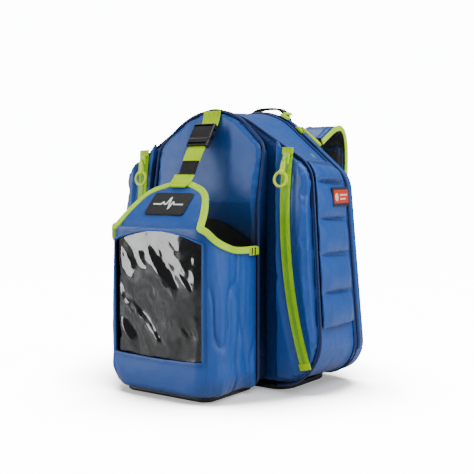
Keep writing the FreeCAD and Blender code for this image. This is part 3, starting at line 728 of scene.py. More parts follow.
def tier_plane(z):
    """Depth of the front tier's face: upright, then leaning back above the pouch."""
    return np.where(z < 335, TIER_Y, TIER_Y + (z - 335) * 32.6 / 170)


def wing_plane(z):
    """Depth of a wing's face, bowed forward at its middle."""
    return -77 + 15 * ((z - 242.5) / 190.5) ** 2


# The right wing's zipper: an arc through its two ends, bowed outward and forward.
CHORD_TOP, CHORD_LOW = np.array([165.0, -62, 433]), np.array([201.0, -62, 52])
WING_END, PARKED = 11.6, 10.3
along_chord = unit(CHORD_TOP - CHORD_LOW)
wing_swing = np.array([-12.5, -15.0, 0])
wing_swing = wing_swing - along_chord * (wing_swing @ along_chord)
wing_depth = np.linalg.norm(wing_swing)
wing_radius = np.sum((CHORD_TOP - CHORD_LOW) ** 2) / (8 * wing_depth) + wing_depth / 2
wing_middle = (CHORD_TOP + CHORD_LOW) / 2 + wing_swing
wing_out = wing_swing / wing_depth
wing_centre = wing_middle - wing_out * wing_radius
wing_axis = np.cross(wing_out, along_chord)


def turned(rows, degrees):
    """Points swung along the right wing's zipper by an angle."""
    turn = Matrix.Rotation(math.radians(degrees), 3, Vector(wing_axis))
    return (np.asarray(rows) - wing_centre) @ np.array(turn).T + wing_centre


def wing_line(start, end, count=90):
    """Points and outward normals along the right wing's zipper, low to high."""
    angles = np.linspace(start, end, count)
    rows = np.array([turned(wing_middle[None], a)[0] for a in angles])
    facing = np.array([turned(wing_middle[None] - [0, 1, 0], a)[0] for a in angles])
    return rows, unit(facing - rows)


def zipper_x(z):
    """Where the wing's zipper runs at a height."""
    rows, _ = wing_line(-13, 13, 60)
    return np.interp(z, rows[:, 2], rows[:, 0])


# Foot and top of the flap's face, (y, z).
FLAP_LOW, FLAP_HIGH = np.array([-222.5, 294.0]), np.array([-145.0, 376.0])
flap_up = unit(FLAP_HIGH - FLAP_LOW)
flap_normal = np.array([0, -flap_up[1], flap_up[0]])


def flap_plane(z):
    return FLAP_LOW[0] + (z - FLAP_LOW[1]) * (FLAP_HIGH - FLAP_LOW)[0] / (FLAP_HIGH - FLAP_LOW)[1]


POUCH_HALF, POUCH_FRONT, POUCH_RADIUS = 119, -222.5, 38


def pouch_face(x, inward=0.0):
    """Depth of the pouch's front at a distance from its middle, round its corners."""
    bend = np.clip(np.abs(x) - (POUCH_HALF - POUCH_RADIUS), 0, POUCH_RADIUS - inward - 0.01)
    radius = POUCH_RADIUS - inward
    return POUCH_FRONT + POUCH_RADIUS - np.sqrt(radius ** 2 - bend ** 2)


# The buckle's strap: its slope, its top end and its own down and inward directions.
STRAP_TURN = Matrix.Rotation(math.radians(-33.5), 4, "X")
STRAP_START = np.array([0, -82.0, 474.0])
strap_down = np.array(STRAP_TURN.to_3x3() @ Vector((0, 0, -1)))
strap_in = np.array(STRAP_TURN.to_3x3() @ Vector((0, 1, 0)))


def on_strap(depth, along):
    return STRAP_START + strap_in * depth + strap_down * along


# ---------------------------------------------------------------- padded shell


def build_shell():
    """Main compartment: blue outside, grey lining, soft dents in the fabric."""
    def shape(p, n):
        dents = (folds(p, (90, 60, 70), 3) - 0.6) * 1.6 + ridges(p, (60, 40, 26), 8) * -0.9
        calm = smooth(0, 14, 74 - p[:, 1]) * smooth(-52, -44, p[:, 1])
        return p + n * (dents * calm)[:, None]
    soft("shell_skin", "main_shell", 4.5, 0.6, shape, "front_shell", blue_fabric,
         "blue_fabric", 0.4, hollow=((0, 40, 250), liner_fabric))


# Heights of the seams at the quilt's front edge.
QUILT_SEAMS = np.array([118.0, 181, 247, 310, 375, 408])


def build_quilts():
    """Quilted side pads: puffed baffles between sewn channels, puckered at the seams."""
    for side, sign in (("right", 1), ("left", -1)):

        def shape(p, n):
            z = p[:, 2]
            index = np.clip(np.searchsorted(QUILT_SEAMS, z) - 1, 0, len(QUILT_SEAMS) - 2)
            low, high = QUILT_SEAMS[index], QUILT_SEAMS[index + 1]
            sag = 1.6 * noise3(p, (400, 70, 400), 4) + 0.085 * (p[:, 1] + 47)
            share = np.clip((z + sag - low) / (high - low), 0, 1)
            near = np.minimum(share, 1 - share) * (high - low)
            rim = (smooth(-4, 26, p[:, 1] + 47) * smooth(-4, 26, 73 - p[:, 1])) ** 0.7
            puff = (1 - (2 * share - 1) ** 2) ** 0.62 * 10.5 - 3.4
            groove = -1.4 * np.exp(-(near / 1.6) ** 2)
            pucker = 1.5 * ridges(p, (300, 15, 60), 6 + sign) * np.exp(-near / 10)
            broad = 1.6 * folds(p, (200, 60, 60), 12 + sign)
            out = smooth(0.3, 0.7, n[:, 0] * sign)
            move = (puff + groove - pucker + broad) * rim - 1.2 * (1 - rim)
            return p + n * (move * out)[:, None]
        soft("quilt_" + side, "side_quilt_" + side, 2.4, 0.2, shape, "front_shell", blue_fabric,
             "blue_fabric", 0.6)


def build_wings():
    """Stuffed side pockets on the front, drawn in under their zippers."""
    wing = start_soft("wing_pocket_right_soft", ["wing_pocket_right"], 4.5, 1.3)
    swell(wing, 5.0, 9, 10)
    return wing


def finish_wings(right):
    left = mirror_copy(right, "wing_pocket_left_soft")
    for piece, side, sign in ((right, "right", 1), (left, "left", -1)):

        def shape(p, n):
            x, z = p[:, 0] * sign, p[:, 2]
            off = np.abs(x - zipper_x(z))
            pinch = ridges(p, (60, 60, 13), 2 + sign) * np.exp(-((off - 15) / 11) ** 2)
            crush = folds(p, (34, 60, 60), 15 + sign)
            front = smooth(0.2, 0.7, -n[:, 1])
            p = p + n * ((crush * 2.2 - pinch * 1.6) * front)[:, None]
            proud = 4.5 * smooth(12, 26, off)
            p[:, 1] = np.maximum(p[:, 1], wing_plane(z) + 0.1 - proud)
            p[:, 1] = np.minimum(p[:, 1], -53.6)
            return p
        refine(piece, shape)
        dress(piece, "front_shell", blue_fabric, "blue_fabric", ["wing_pocket_" + side], 0.7)


def build_tier():
    """Padded panel behind the pouch with an arched top."""
    tier = start_soft("front_tier", ["front_panel"], 4.5, 1.2)
    swell(tier, 4.0, 7, 12)
    return tier


def finish_tier(tier):
    def shape(p, n):
        x, z = np.abs(p[:, 0]), p[:, 2]
        p = p + n * (folds(p, (70, 60, 60), 21) * 1.4 - ridges(p, (36, 50, 30), 24) * 0.9)[:, None]
        proud = 3.0 * smooth(22, 60, x) * smooth(300, 380, z)
        p[:, 1] = np.maximum(p[:, 1], tier_plane(z) + 0.2 - proud)
        p[:, 1] = np.minimum(p[:, 1], -53.7)
        return p
    refine(tier, shape)
    dress(tier, "front_shell", tier_fabric, "blue_fabric", ["front_panel"], 0.5)


def tier_outline():
    """Edge of the front tier's face, from the lower right up, over and down."""
    points = [(123, 10.4), (123, 437), (0, 545.6), (-123, 437), (-123, 10.4)]
    rows = corner_path(points, [20, 36, 125, 36, 20])
    rows = resample(rows[rows[:, 1] < 502], 4)
    return np.stack([rows[:, 0], tier_plane(rows[:, 1]), rows[:, 1]], 1)


def build_pipings():
    """Corded seams round the tier, the wings and the shell's edges."""
    line = tier_outline()
    out = outward_xz(line)
    line = line[line[:, 2] < 500]
    middle = int(np.argmax(np.abs(np.diff(line[:, 0])))) + 1
    bridge = spline([line[middle - 1], (0, -60.5, 505), line[middle]], 4)
    line = np.vstack([line[:middle], bridge[1:-1], line[middle:]])
    out = outward_xz(line)
    line = line - out * 3.2 + [0, 2.8, 0]
    batch = band(line, out, tube(2.6))
    put("tier_piping", [batch], "front_shell", navy_fabric, "blue_fabric")
    rim = shell_line(FRONT_Y - 4.5, 2.6)
    tuck = smooth(300, 360, rim[:, 2:])
    cord = band(rim - outward_xz(rim) * 3.9 * tuck + [0, 6.0, 0] * tuck, outward_xz(rim), tube(2.2))
    edge = shell_line(ZIP_Y - 11.5, 4.6)
    back = band(edge, outward_xz(edge), tube(1.3))
    put("shell_piping", [cord, back], "front_shell", navy_fabric, "blue_fabric")
    rear = resample(dome("rear", 7.0), 4)
    rear = np.stack([rear[:, 0], np.full(len(rear), 109.4), rear[:, 1]], 1)
    gusset = resample(dome("rear", 5.0), 4)
    gusset = np.stack([gusset[:, 0], np.full(len(gusset), 99.0), gusset[:, 1]], 1)
    put("door_gusset", [band(gusset, outward_xz(gusset), flat(23, 0.6, -0.3))], "back_door",
        blue_fabric, "blue_fabric")
    put("door_piping", [band(rear, outward_xz(rear), tube(2.0))], "back_door", navy_fabric,
        "blue_fabric")


# ---------------------------------------------------------------- pouch


def build_pouch():
    """Soft pouch with slumped folds on its sides, dark inside."""
    def shape(p, n):
        x, y, z = p.T
        height = np.clip((z - 10) / 286, 0, 1)
        out = np.stack([np.where(np.abs(x) > 81, np.sign(x) * np.maximum(np.abs(x) - 60, 0), 0),
                        np.minimum(y + 150, 0), np.zeros(len(x))], 1)
        out = unit(out + [0, 1e-6, 0])
        bulge = 5.0 * np.sin(math.pi * height) ** 0.8 + 3.0 * smooth(75, 45, z) * smooth(12, 40, z)
        around = np.stack([x, y, z / 6.5], 1)
        side = smooth(96, 112, np.abs(x))
        upright = folds(around, (30, 22, 26), 31) * 5.5 * side
        crease = ridges(np.stack([x, y, z / 4], 1), (30, 26, 24), 37) * 4.0 * side
        dent = folds(p, (50, 50, 40), 33) * 1.1
        slump = -9.0 * smooth(48, 8, z) * smooth(60, 112, np.abs(x))
        calm = smooth(-93, -112, y)
        move = (bulge * np.where(side > 0.5, 0.7, 0.35) + upright - crease + dent + slump) * calm
        return p + out * move[:, None]
    soft("pouch_soft", "pouch_body", 2.3, 0.3, shape, "front_shell", blue_fabric,
         "blue_fabric", 0.3, hollow=((0, -150, 170), dark_liner_and_shade))


def build_window():
    """Thick clear sheet behind the front opening, wavy from being bent."""
    across, up = np.meshgrid(np.linspace(-99, 99, 91), np.linspace(0, 1, 91))
    share = np.clip(np.abs(across) / 96, 0, 1)
    low, high = 71 - 3 * (1 - share ** 2), 271 + 20 * (1 - share ** 2)
    z = low + up * (high - low)
    over = across.ravel() * 0.8 + z.ravel() * 0.6
    down = across.ravel() * 0.6 - z.ravel() * 0.8
    ripple = np.stack([over, np.zeros(across.size), down], 1)
    wave = noise3(ripple, (21, 60, 74), 41) * 3.6 + noise3(ripple, (60, 60, 48), 43) * 3.4
    wave = wave + noise3(ripple, (11, 60, 32), 44) * 0.9
    inside = smooth(99, 80, np.abs(across)) * np.sin(math.pi * np.clip(up, 0, 1)) ** 0.5
    y = pouch_face(across, 2.4) + 1.4 - (1.6 + wave.reshape(across.shape)) * inside
    front = np.stack([across, y, z], -1).reshape(-1, 3)
    rear = front + [0, 1.2, 0]
    columns = across.shape[1]
    faces = grid_faces(*across.shape) + grid_faces(*across.shape, len(front), -1)
    border = [k for k in range(columns)]
    border += [i * columns + columns - 1 for i in range(1, across.shape[0])]
    border += [(across.shape[0] - 1) * columns + k for k in range(columns - 2, -1, -1)]
    border += [i * columns for i in range(across.shape[0] - 2, 0, -1)]
    for a, b in zip(border, border[1:] + border[:1]):
        faces.append([b, a, a + len(front), b + len(front)])
    piece = to_object("window_sheet", np.vstack([front, rear]), faces)
    dress(piece, "front_shell", vinyl, "clear_vinyl", ["clear_window"])


def build_pouch_backing():
    """Dark padded sheet between the pouch's hollow and the front tier: painted shade, near black
    where the tier's face lies in shade inside the pouch.
    """
    across, up = np.meshgrid(np.linspace(-114, 114, 39), np.linspace(16, 284, 45))
    flat_rows = np.stack([across, np.full(across.shape, -93.9), up], -1).reshape(-1, 3)
    front = flat_rows - np.stack([np.zeros(len(flat_rows)),
                                  2.2 + folds(flat_rows, (50, 50, 50), 47) * 1.2,
                                  np.zeros(len(flat_rows))], 1)
    faces = grid_faces(*across.shape) + grid_faces(*across.shape, len(front), -1)
    rows = np.vstack([front, flat_rows])
    arch = 246 + 45 * (1 - (rows[:, 0] / 114) ** 2)
    rows[:, 2] = 16 + (rows[:, 2] - 16) * arch / 268
    piece = to_object("pouch_backing", rows, faces)
    # Painted shade: the sheet's near-black colour stands in for the shade inside the pouch.
    dress(piece, "front_shell", dark_liner_and_shade, "liner_grey")


def window_edge(grow):
    """Edge of the window on the pouch's face."""
    half, low, side, crown = 96 + grow, 74 - grow, 268 + grow, 288 + grow
    across = np.linspace(half, -half, 40)
    top = np.stack([across, side + (crown - side) * (1 - (across / half) ** 2)], 1)
    base = np.stack([-across, low - 3 * (1 - (across / half) ** 2)], 1)
    loop = np.vstack([base, top])
    loop = resample(np.vstack([loop, loop[:1]]), 4)[:-1]
    bulge = 1.4 * np.sin(math.pi * np.clip((loop[:, 1] - 10) / 286, 0, 1)) ** 0.8
    return np.stack([loop[:, 0], pouch_face(loop[:, 0]) - bulge, loop[:, 1]], 1)


def build_window_trim():
    """Turned fabric edge round the window and its stitching."""
    edge = window_edge(2.4)
    trim = band(edge, pouch_normals(edge), tube(2.0, 8, 0.2), closed=True)
    put("window_trim", [trim], "front_shell", blue_fabric, "blue_fabric")
    edge = window_edge(7.5)
    edge = np.vstack([edge, edge[:1]])
    sewn = beads(edge, pouch_normals(edge), 3.6, (1.35, 0.4, 0.35), lift=0.9)
    put("window_stitching", [sewn], "front_shell", dark_thread, "blue_fabric")


def pouch_normals(rows):
    """Outward normals of the pouch's front and corners at points on it."""
    bend = np.where(np.abs(rows[:, 0]) > 81, np.sign(rows[:, 0]) * (np.abs(rows[:, 0]) - 81), 0)
    return unit(np.stack([bend, -np.full(len(rows), 34.0), np.zeros(len(rows))], 1))


def build_flap():
    """Leaning flap: padded sheet with a soft crown, closed down onto the rim."""
    def shape(p, n):
        x, z = p[:, 0], p[:, 2]
        low = smooth(310, 294, z)
        puff = 1.8 * (1 - np.clip(np.abs(x) / 90, 0, 1) ** 2) * np.sin(
            math.pi * np.clip((z - 296) / 78, 0, 1))
        move = folds(p, (40, 40, 26), 51) * 0.8 + puff
        p = p + flap_normal * (move * smooth(0.2, 0.6, n @ flap_normal))[:, None]
        p[:, 2] = p[:, 2] - 5.0 * low
        p[:, 1] = p[:, 1] - 0.9 * low * (n[:, 1] < 0)
        return p
    soft("flap_soft", "pouch_flap", 2.4, 0.1, shape, "front_shell", blue_fabric,
         "blue_fabric", 0.3, hollow=((0, -150, 290), dark_liner_and_shade))


def flap_edge(inward):
    """Flap's outer edge drawn in by a distance, on its own plane."""
    rows = np.array([(97, 296.4), (88, 321.4), (67, 353.4), (34, 367), (0, 374), (-34, 367),
                     (-67, 353.4), (-88, 321.4), (-97, 296.4)])
    rows = spline(rows, 3)
    slope = 1 / flap_up[1]
    plane = np.stack([rows[:, 0], (rows[:, 1] - FLAP_LOW[1]) * slope], 1)
    ahead = unit(np.gradient(plane, axis=0))
    plane = plane + np.stack([-ahead[:, 1], ahead[:, 0]], 1) * inward
    z = FLAP_LOW[1] + plane[:, 1] / slope
    return np.stack([plane[:, 0], flap_plane(z), z], 1)


def rim_line():
    """Pouch's side rim from the flap's corner to the tier, right side, with normals."""
    angles = np.radians(np.linspace(-66, 0, 24))
    corner = np.stack([81 + 38 * np.cos(angles), -184.5 + 38 * np.sin(angles)], 1)
    side = np.stack([np.full(20, 119.0), np.linspace(-180, -94, 20)], 1)
    plan = np.vstack([corner, side])
    knots = np.array([(-224, 300), (-216.5, 297), (-204.5, 279), (-182.5, 268), (-152.5, 261),
                      (-83, 259)])
    fine = spline(knots, 2)
    z = np.interp(plan[:, 1], fine[:, 0], fine[:, 1])
    out = np.vstack([np.stack([np.cos(angles), np.sin(angles)], 1), np.tile([1.0, 0], (20, 1))])
    rows = np.stack([plan[:, 0], plan[:, 1], z], 1)
    return rows, np.hstack([out, np.zeros((len(out), 1))])


def build_binding():
    """Lime binding over the flap's edge and the pouch's rim, and its bar-tacked tabs."""
    edge = flap_edge(4.6)
    facing = np.tile(flap_normal, (len(edge), 1))
    rim, out = rim_line()
    rim = resample(np.hstack([rim, out]), 3)
    rim, out = rim[:, :3], unit(rim[:, 3:])
    low = rim - [0, 0, 4.2]
    bulge = 2.4 * smooth(-94, -120, rim[:, 1])
    low = low + out * bulge[:, None]
    path = np.vstack([low[::-1], edge, low * [-1, 1, 1]])
    ways = np.vstack([out[::-1], facing, out * [-1, 1, 1]])
    both_ways = resample(np.hstack([path, ways * 20]), 3)
    for _ in range(14):
        both_ways[1:-1] = (both_ways[:-2] + 2 * both_ways[1:-1] + both_ways[2:]) / 4
    strip = band(both_ways[:, :3], unit(both_ways[:, 3:]), flat(11.5, 6.6, -4.6))
    seam = beads(low - [0, 0, 3.6], out, 3.2, (1.2, 0.35, 0.3), lift=1.55)
    line = beads(flap_edge(8.6), facing, 3.2, (1.2, 0.35, 0.3), lift=2.4)
    put("pouch_binding_soft", [strip], "front_shell", lime_edge, "lime_webbing",
        ["pouch_binding"])
    put("binding_stitching", [seam, mirror_batch(seam), line], "front_shell", thread_finish,
        "lime_webbing")
    spots = np.array([(121.6, -121.0, 253), (121.6, -94.4, 253)])
    away = np.tile([1.0, 0, 0], (2, 1))
    tab = band(resample(spots, 3), [1.0, 0, 0],
               flat(14, 2.4, 0.2))
    bars = []
    for y in (-114.5, -105.5):
        bar = np.array([(124.3, y, 247.5), (124.3, y, 258.5)])
        bars.append(beads(bar, away, 0.9, (0.7, 1.5, 0.45), square=True))
    put("rim_tab_straps", [tab, mirror_batch(tab)], "front_shell", lime_web, "lime_webbing",
        ["rim_tabs"])
    put("rim_tab_bartacks", bars + [mirror_batch(b) for b in bars], "front_shell", dark_thread,
        "black_webbing")


def plate(outline, gauge, place, steps=1.0):
    """Flat plate with rounded edges from an outline in its own XY plane."""
    outline = np.asarray(outline, float)
    centre = outline.mean(0)
    layers = []
    for low, draw in ((0, 0.6), (gauge * 0.35, 0), (gauge * 0.65, 0), (gauge, 0.6)):
        moved = outline - unit(outline - centre) * draw * steps
        layers.append(np.hstack([moved, np.full((len(moved), 1), low)]))
    rows = np.vstack(layers)
    count = len(outline)
    faces = [list(range(count))[::-1], [3 * count + k for k in range(count)]]
    for i in range(3):
        for k in range(count):
            faces.append([i * count + k, i * count + (k + 1) % count,
                          (i + 1) * count + (k + 1) % count, (i + 1) * count + k])
    return carried(rows, place), faces, np.vstack([outline] * 4)


def flap_place(x, up, lift):
    """Frame on the flap's face: X across, Y up the slope, Z out of it."""
    spot = np.array([x, FLAP_LOW[0] + flap_up[0] * up, FLAP_LOW[1] + flap_up[1] * up])
    spot = spot + flap_normal * lift
    place = np.eye(4)
    place[:3, 0], place[:3, 1] = (1, 0, 0), (0, flap_up[0], flap_up[1])
    place[:3, 2], place[:3, 3] = flap_normal, spot
    return place


def build_patch():
    """Blank black name patch with a plain heartbeat line instead of a mark."""
    outline = corner_path([(-43, -25), (43, -25), (43, 25), (-43, 25)], [5] * 4, 5)
    put("patch_soft", [plate(outline, 2.2, flap_place(0, 53, 1.2))], "front_shell", patch_finish,
        "patch_black", ["id_patch"])
    beat = np.array([(-33, -2), (-16, -2), (-12, 3), (-8, -2), (-4, -2), (0, 14), (5, -13),
                     (9, 4), (13, -2), (33, -2)], float)
    place = flap_place(0, 53, 3.5)
    rows = carried(resample(beat, 0.8), place)
    pulse = band(rows, flap_normal, flat(3.2, 0.7, -0.2, 3))
    edge = corner_path([(-40.5, -22.5), (40.5, -22.5), (40.5, 22.5), (-40.5, 22.5)], [3.5] * 4, 5)
    edge = carried(resample(np.vstack([edge, edge[:1]]), 2), place)
    sewn = beads(edge, flap_normal, 2.8, (1.0, 0.35, 0.3))
    put("patch_line", [pulse], "front_shell", patch_line, "patch_black")
    put("patch_stitching", [sewn], "front_shell", black_web, "patch_black")


# ---------------------------------------------------------------- strap column

# Where the lower strap goes under the lime tab at the pouch's top.
POUCH_TAB = np.array([0, -142.6, 384.2])


def build_strap():
    """Webbing tabs, loop and lower strap that carry the buckle."""
    along = [(0, -63.9, 500), (0, -66.6, 489), on_strap(7.4, -8), on_strap(7.4, 7)]
    rows = spline(along, 3)
    out = side_normals(rows)
    tab = band(rows, out, flat(38, 2.4, -1.2))
    sewn = [beads(rows[1:5], out[1:5], 2.4, (1.0, 0.4, 0.35), across=x, lift=1.4)
            for x in (-15, -5, 5, 15)]
    put("tab_top_webbing", [tab], "front_shell", lime_web, "lime_webbing", ["strap_tab_top"])
    low = spline([(0, -144.4, 383.2), (0, -148.6, 378.4), (0, -155, 371.6), (0, -163.4, 362.7)], 2)
    facing = side_normals(low)
    shaped = []
    for i in range(len(low)):
        ends = max(0.0, (i - (len(low) - 7)) / 6)
        half = 22 * (1 - 0.32 * ends ** 2)
        shaped.append([(x / 22 * half, y) for x, y in flat(44, 3.0, -1.1)])
    pouch_tab = band(low, facing, shaped)
    sewn += [beads(low[2:-3], facing[2:-3], 2.4, (1.0, 0.4, 0.35), across=x, lift=2.0)
             for x in (-17, 17)]
    cross = np.array([low[-5] + [-15, 0, 0], low[-5] + [15, 0, 0]])
    sewn.append(beads(resample(cross, 1), facing[-5], 2.4,
                      (1.0, 0.4, 0.35), lift=2.0))
    put("tab_pouch_webbing", [pouch_tab], "front_shell", lime_web, "lime_webbing",
        ["strap_tab_pouch"])
    put("strap_stitching", sewn, "front_shell", dark_thread, "black_webbing")

    hanging = spline([on_strap(0.0, 49), on_strap(-1.5, 62), on_strap(-0.6, 80),
                      on_strap(0.6, 96), on_strap(1.5, 104), POUCH_TAB], 2)
    facing = side_normals(hanging)
    start = int(len(hanging) * 0.5)
    loop = band(hanging[:start + 1], facing[:start + 1], flat(37.5, 4.2, -2.1))
    lower = band(hanging[start:], facing[start:], flat(36.5, 2.4, -1.2))
    for name, rows, finish, slot, node_name in (
            ("loop_webbing", loop, lime_web, "lime_webbing", "webbing_loop"),
            ("lower_webbing_soft", lower, black_web, "black_webbing", "lower_webbing")):
        piece = merged(name, [rows])
        dress(piece, "front_shell", finish, slot, [node_name])
        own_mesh(piece)


def side_normals(rows):
    """Normals of a strap in side view that point up and forward, away from the pack."""
    ahead = unit(np.gradient(rows, axis=0))
    out = unit(np.cross(ahead, [1.0, 0, 0]))
    return out * np.where(out[:, 1:2] > 0, -1, 1)


# ---------------------------------------------------------------- zippers

# From a panel to the top of its tape and coil, and from there to a pull's own middle.
COIL_TOP, SLIDER_TOP = 0.9 + 1.2 + 2.2, 4.5 + 3


def build_wing_zippers():
    """Wing zipper tapes with sewn edges, coil teeth and end tabs."""
    rows, out = wing_line(-WING_END + 0.4, WING_END - 0.4)
    tape = band(rows, out, flat(20, 1.2, 0.4))
    both("wing_tape_soft", [tape], "front_shell", tape_web, slot="zip_tape",
         replaces=["wing_tape"])
    teeth = [beads(rows, out, 2.2, (0.72, 1.7, 1.0), across=x, lift=2.6, square=True)
             for x in (-1.35, 1.35)]
    spine = band(rows, out, flat(5.0, 1.1, 1.5, 3))
    both("wing_teeth", teeth + [spine], "front_shell", chain_finish, slot="zip_chain",
         replaces=["wing_chain"])
    sewn = [beads(rows, out, 3.4, (1.3, 0.4, 0.3), across=x, lift=1.75) for x in (-7.6, 7.6)]
    both("wing_stitching", sewn, "front_shell", thread_finish, slot="zip_tape")
    tabs = []
    for start, end in ((WING_END - 0.8, WING_END - 0.1), (-WING_END - 0.3, -WING_END + 0.4)):
        spots, facing = wing_line(start, end, 8)
        tabs.append(band(spots, facing, flat(22, 3.2, 1.0)))
    put("zipper_tabs_soft", tabs + [mirror_batch(t) for t in tabs], "front_shell", lime_web,
        "lime_webbing", ["zipper_end_tabs"])


def wing_pull_shape():
    """Ribbed rubber pull with an eye at its foot, hanging at the wing's middle."""
    front = wing_middle - [0, 0.8 - 0.9 + COIL_TOP + SLIDER_TOP, 0]
    length = 22.0
    steps = np.linspace(0, 1, 34)
    spots = np.array([front - [0, 0, 3 + s * (length - 1)] for s in steps])
    profiles = []
    for s in steps:
        width = 9.0 * (0.62 + 0.38 * smooth(0, 0.16, s)) * (1 - 0.05 * math.sin(s * 9))
        gauge = 3.0 + 0.9 * max(0.0, math.sin(s * 2 * math.pi * 6.5)) * smooth(0.12, 0.2, s)
        profiles.append([(x / 9 * width, y / 3 * gauge) for x, y in flat(9, 3, -1.5)])
    return band(spots, [0, -1.0, 0], profiles), front


def build_wing_pulls():
    """Rubber pulls and flat ridged rings that hang from the wing sliders."""
    (rows, faces, uv), front = wing_pull_shape()
    eye = front - [0, 0, 24]
    around = np.linspace(0, 2 * math.pi, 20, endpoint=False)
    hoop = np.array([eye + [0, 3.5 * math.cos(a), 3.5 * math.sin(a)] for a in around])
    facing = unit(hoop - eye)
    boss = band(hoop, facing, flat(8.4, 2.0, -1.0, 3), closed=True)
    blades = [(turned(r, PARKED), f, u) for r, f, u in ((rows, faces, uv), boss)]
    both("pull_rubber", blades, "wing_pull", rubber, slot="lime_rubber", replaces=["wing_pull"])
    middle = front - [0, 0, 24 + 12.5]
    around = np.linspace(0, 2 * math.pi, 60, endpoint=False)
    hoop = np.array([middle + [12.3 * math.sin(a), 0, 12.3 * math.cos(a)] for a in around])
    facing = unit(hoop - middle)
    profiles = []
    for a in around:
        ridge = 0.35 * math.cos(a * 20)
        profiles.append([(x * (1 + ridge * 0.12), y) for x, y in
                         ((1.4, -1.9), (2.1, -1.1), (2.1, 1.1), (1.3, 2.2), (-1.3, 2.2),
                          (-2.1, 1.1), (-2.1, -1.1), (-1.4, -1.9))])
    ring = band(hoop, facing, profiles, closed=True)
    ring = (turned(ring[0], PARKED), ring[1], ring[2])
    both("ring_rubber", [ring], "wing_ring", rubber, slot="lime_rubber", replaces=["wing_ring"])


def build_main_zipper():
    """Two sewn tapes and two rows of teeth round the seam of shell and door."""
    front = shell_line(81, 5.0, 62)
    out = outward_xz(front)
    rear = resample(dome("rear", 5.0), 4)
    rear = rear[rear[:, 1] >= 62]
    rear = np.stack([rear[:, 0], np.full(len(rear), 91.6), rear[:, 1]], 1)
    out_rear = outward_xz(rear)
    for name, line, facing, body in (("front", front, out, "front_shell"),
                                     ("rear", rear, out_rear, "back_door")):
        tape = band(line, facing, flat(9.6, 1.2, 0.3))
        sewn = beads(line, facing, 3.4, (1.3, 0.35, 0.3), lift=1.7)
        near = line.copy()
        near[:, 1] = 84.6 if name == "front" else 88.2
        teeth = beads(near, facing, 2.6, (0.8, 1.4, 1.0), lift=2.6, square=True)
        put("main_tape_%s_soft" % name, [tape], body, dark_tape, "zip_tape",
            ["main_tape_" + name])
        put("main_teeth_" + name, [teeth], body, dark_chain, "zip_chain", ["main_chain_" + name])
        put("main_stitching_" + name, [sewn], body, dark_thread, "zip_tape")


def build_main_pulls():
    """Long teardrop pull on the right slider and a short one on the left."""
    _, shoulder, height, apex, apex_radius, _ = DOMES["rear"]
    rise = math.atan2(apex - height, shoulder)
    centre_z = apex - apex_radius / math.cos(rise)
    surface_radius = apex_radius - 5
    lift = COIL_TOP + SLIDER_TOP

    def frame_at(turn, x, z):
        place = Matrix.Translation(Vector((0, ZIP_Y, centre_z))) @ Matrix.Rotation(turn, 4, "Y")
        return place @ Matrix.Translation(Vector((x, 0, z)))

    def blade(length, teardrop):
        steps = np.linspace(0, 1, 30)
        spots = np.array([(1.0 + s * (length - 1.5), 0, 0) for s in steps])
        profiles = []
        for s in steps:
            width = 5.0 + 4.6 * (smooth(0.3, 0.75, s) if teardrop else smooth(0.0, 0.4, s))
            width *= 1 - 0.5 * smooth(0.86, 1.0, s)
            rib = 0.6 * max(0.0, math.sin(s * length * 0.9)) * smooth(0.1, 0.2, s)
            gauge = 2.6 + 1.2 * smooth(0.4, 0.8, s) + rib
            profiles.append([(x / 9 * width, y / 3 * gauge) for x, y in flat(9, 3, -1.5)])
        return band(spots, [0, 0, 1.0], profiles)

    def moved(batch, place):
        rows, faces, uv = batch
        return carried(rows, place), faces, uv

    right = frame_at(rise, 13 + 4, surface_radius + lift)
    put("main_pull_right_rubber", [moved(blade(50, True), right)], "main_pull_right", rubber,
        "lime_rubber", ["main_pull_right"])
    left = frame_at(rise - math.radians(13), -3.5, surface_radius + lift + 0.6)
    left = left @ Matrix.Rotation(math.pi / 2, 4, "Z")
    put("main_pull_left_rubber", [moved(blade(21.5, False), left)], "main_pull_left", rubber,
        "lime_rubber", ["main_pull_left"])


# ---------------------------------------------------------------- door, pads and harness


def build_door():
    """Padded back door in its two layers, kept flat under the pads."""
    def shape(p, n):
        dents = (folds(p, (80, 60, 60), 61) - 0.5) * 1.5
        sewn = -1.6 * np.exp(-((np.abs(p[:, 0]) - 112) / 2.4) ** 2) * smooth(80, 110, p[:, 2])
        return p + n * ((dents + sewn) * smooth(0.3, 0.7, n[:, 1]))[:, None]
    soft("door_back_soft", "door_back", 4.5, 0.4, shape, "back_door", blue_fabric,
         "blue_fabric", 0.5, fine=True)

    def inside(p, n):
        dents = (folds(p, (70, 60, 60), 63) - 0.5) * 1.2
        return p + n * (dents * smooth(0.3, 0.7, -n[:, 1]))[:, None]
    soft("door_lining_soft", "door_lining", 4.5, 0.4, inside, "back_door", liner_fabric,
         "liner_grey", 0.4)
    across = np.linspace(-150, 150, 61)
    side = spline([(0, 90.5, 10.7), (0, 104, 10.7), (0, 112.9, 11.4), (0, 113.6, 20),
                   (0, 112.9, 30)], 1.5)
    rows = []
    out = side_normals(side) * -1
    for lift in (0.0, 0.7):
        for spot, up in zip(side, out):
            rows += [spot + up * lift + [x, 0, 0.25 * math.sin(x / 9.0)] for x in across]
    wide, tall = len(across), len(side)
    faces = grid_faces(tall, wide, 0, -1) + grid_faces(tall, wide, tall * wide)
    strip = to_object("door_hinge_fabric", rows, faces)
    strip.data.materials.append(blue_fabric)
    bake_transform(strip)


def build_pads():
    """Spacer-mesh back pads and lumbar pad, each puffed and channelled."""
    pad = start_soft("back_pad_right_soft", ["back_pad_right"], 4.5, 1.6)
    swell(pad, 4.0, 5, 10)
    lumbar = start_soft("lumbar_pad_soft", ["lumbar_pad"], 4.5, 1.6)
    swell(lumbar, 4.0, 5, 10)
    return pad, lumbar


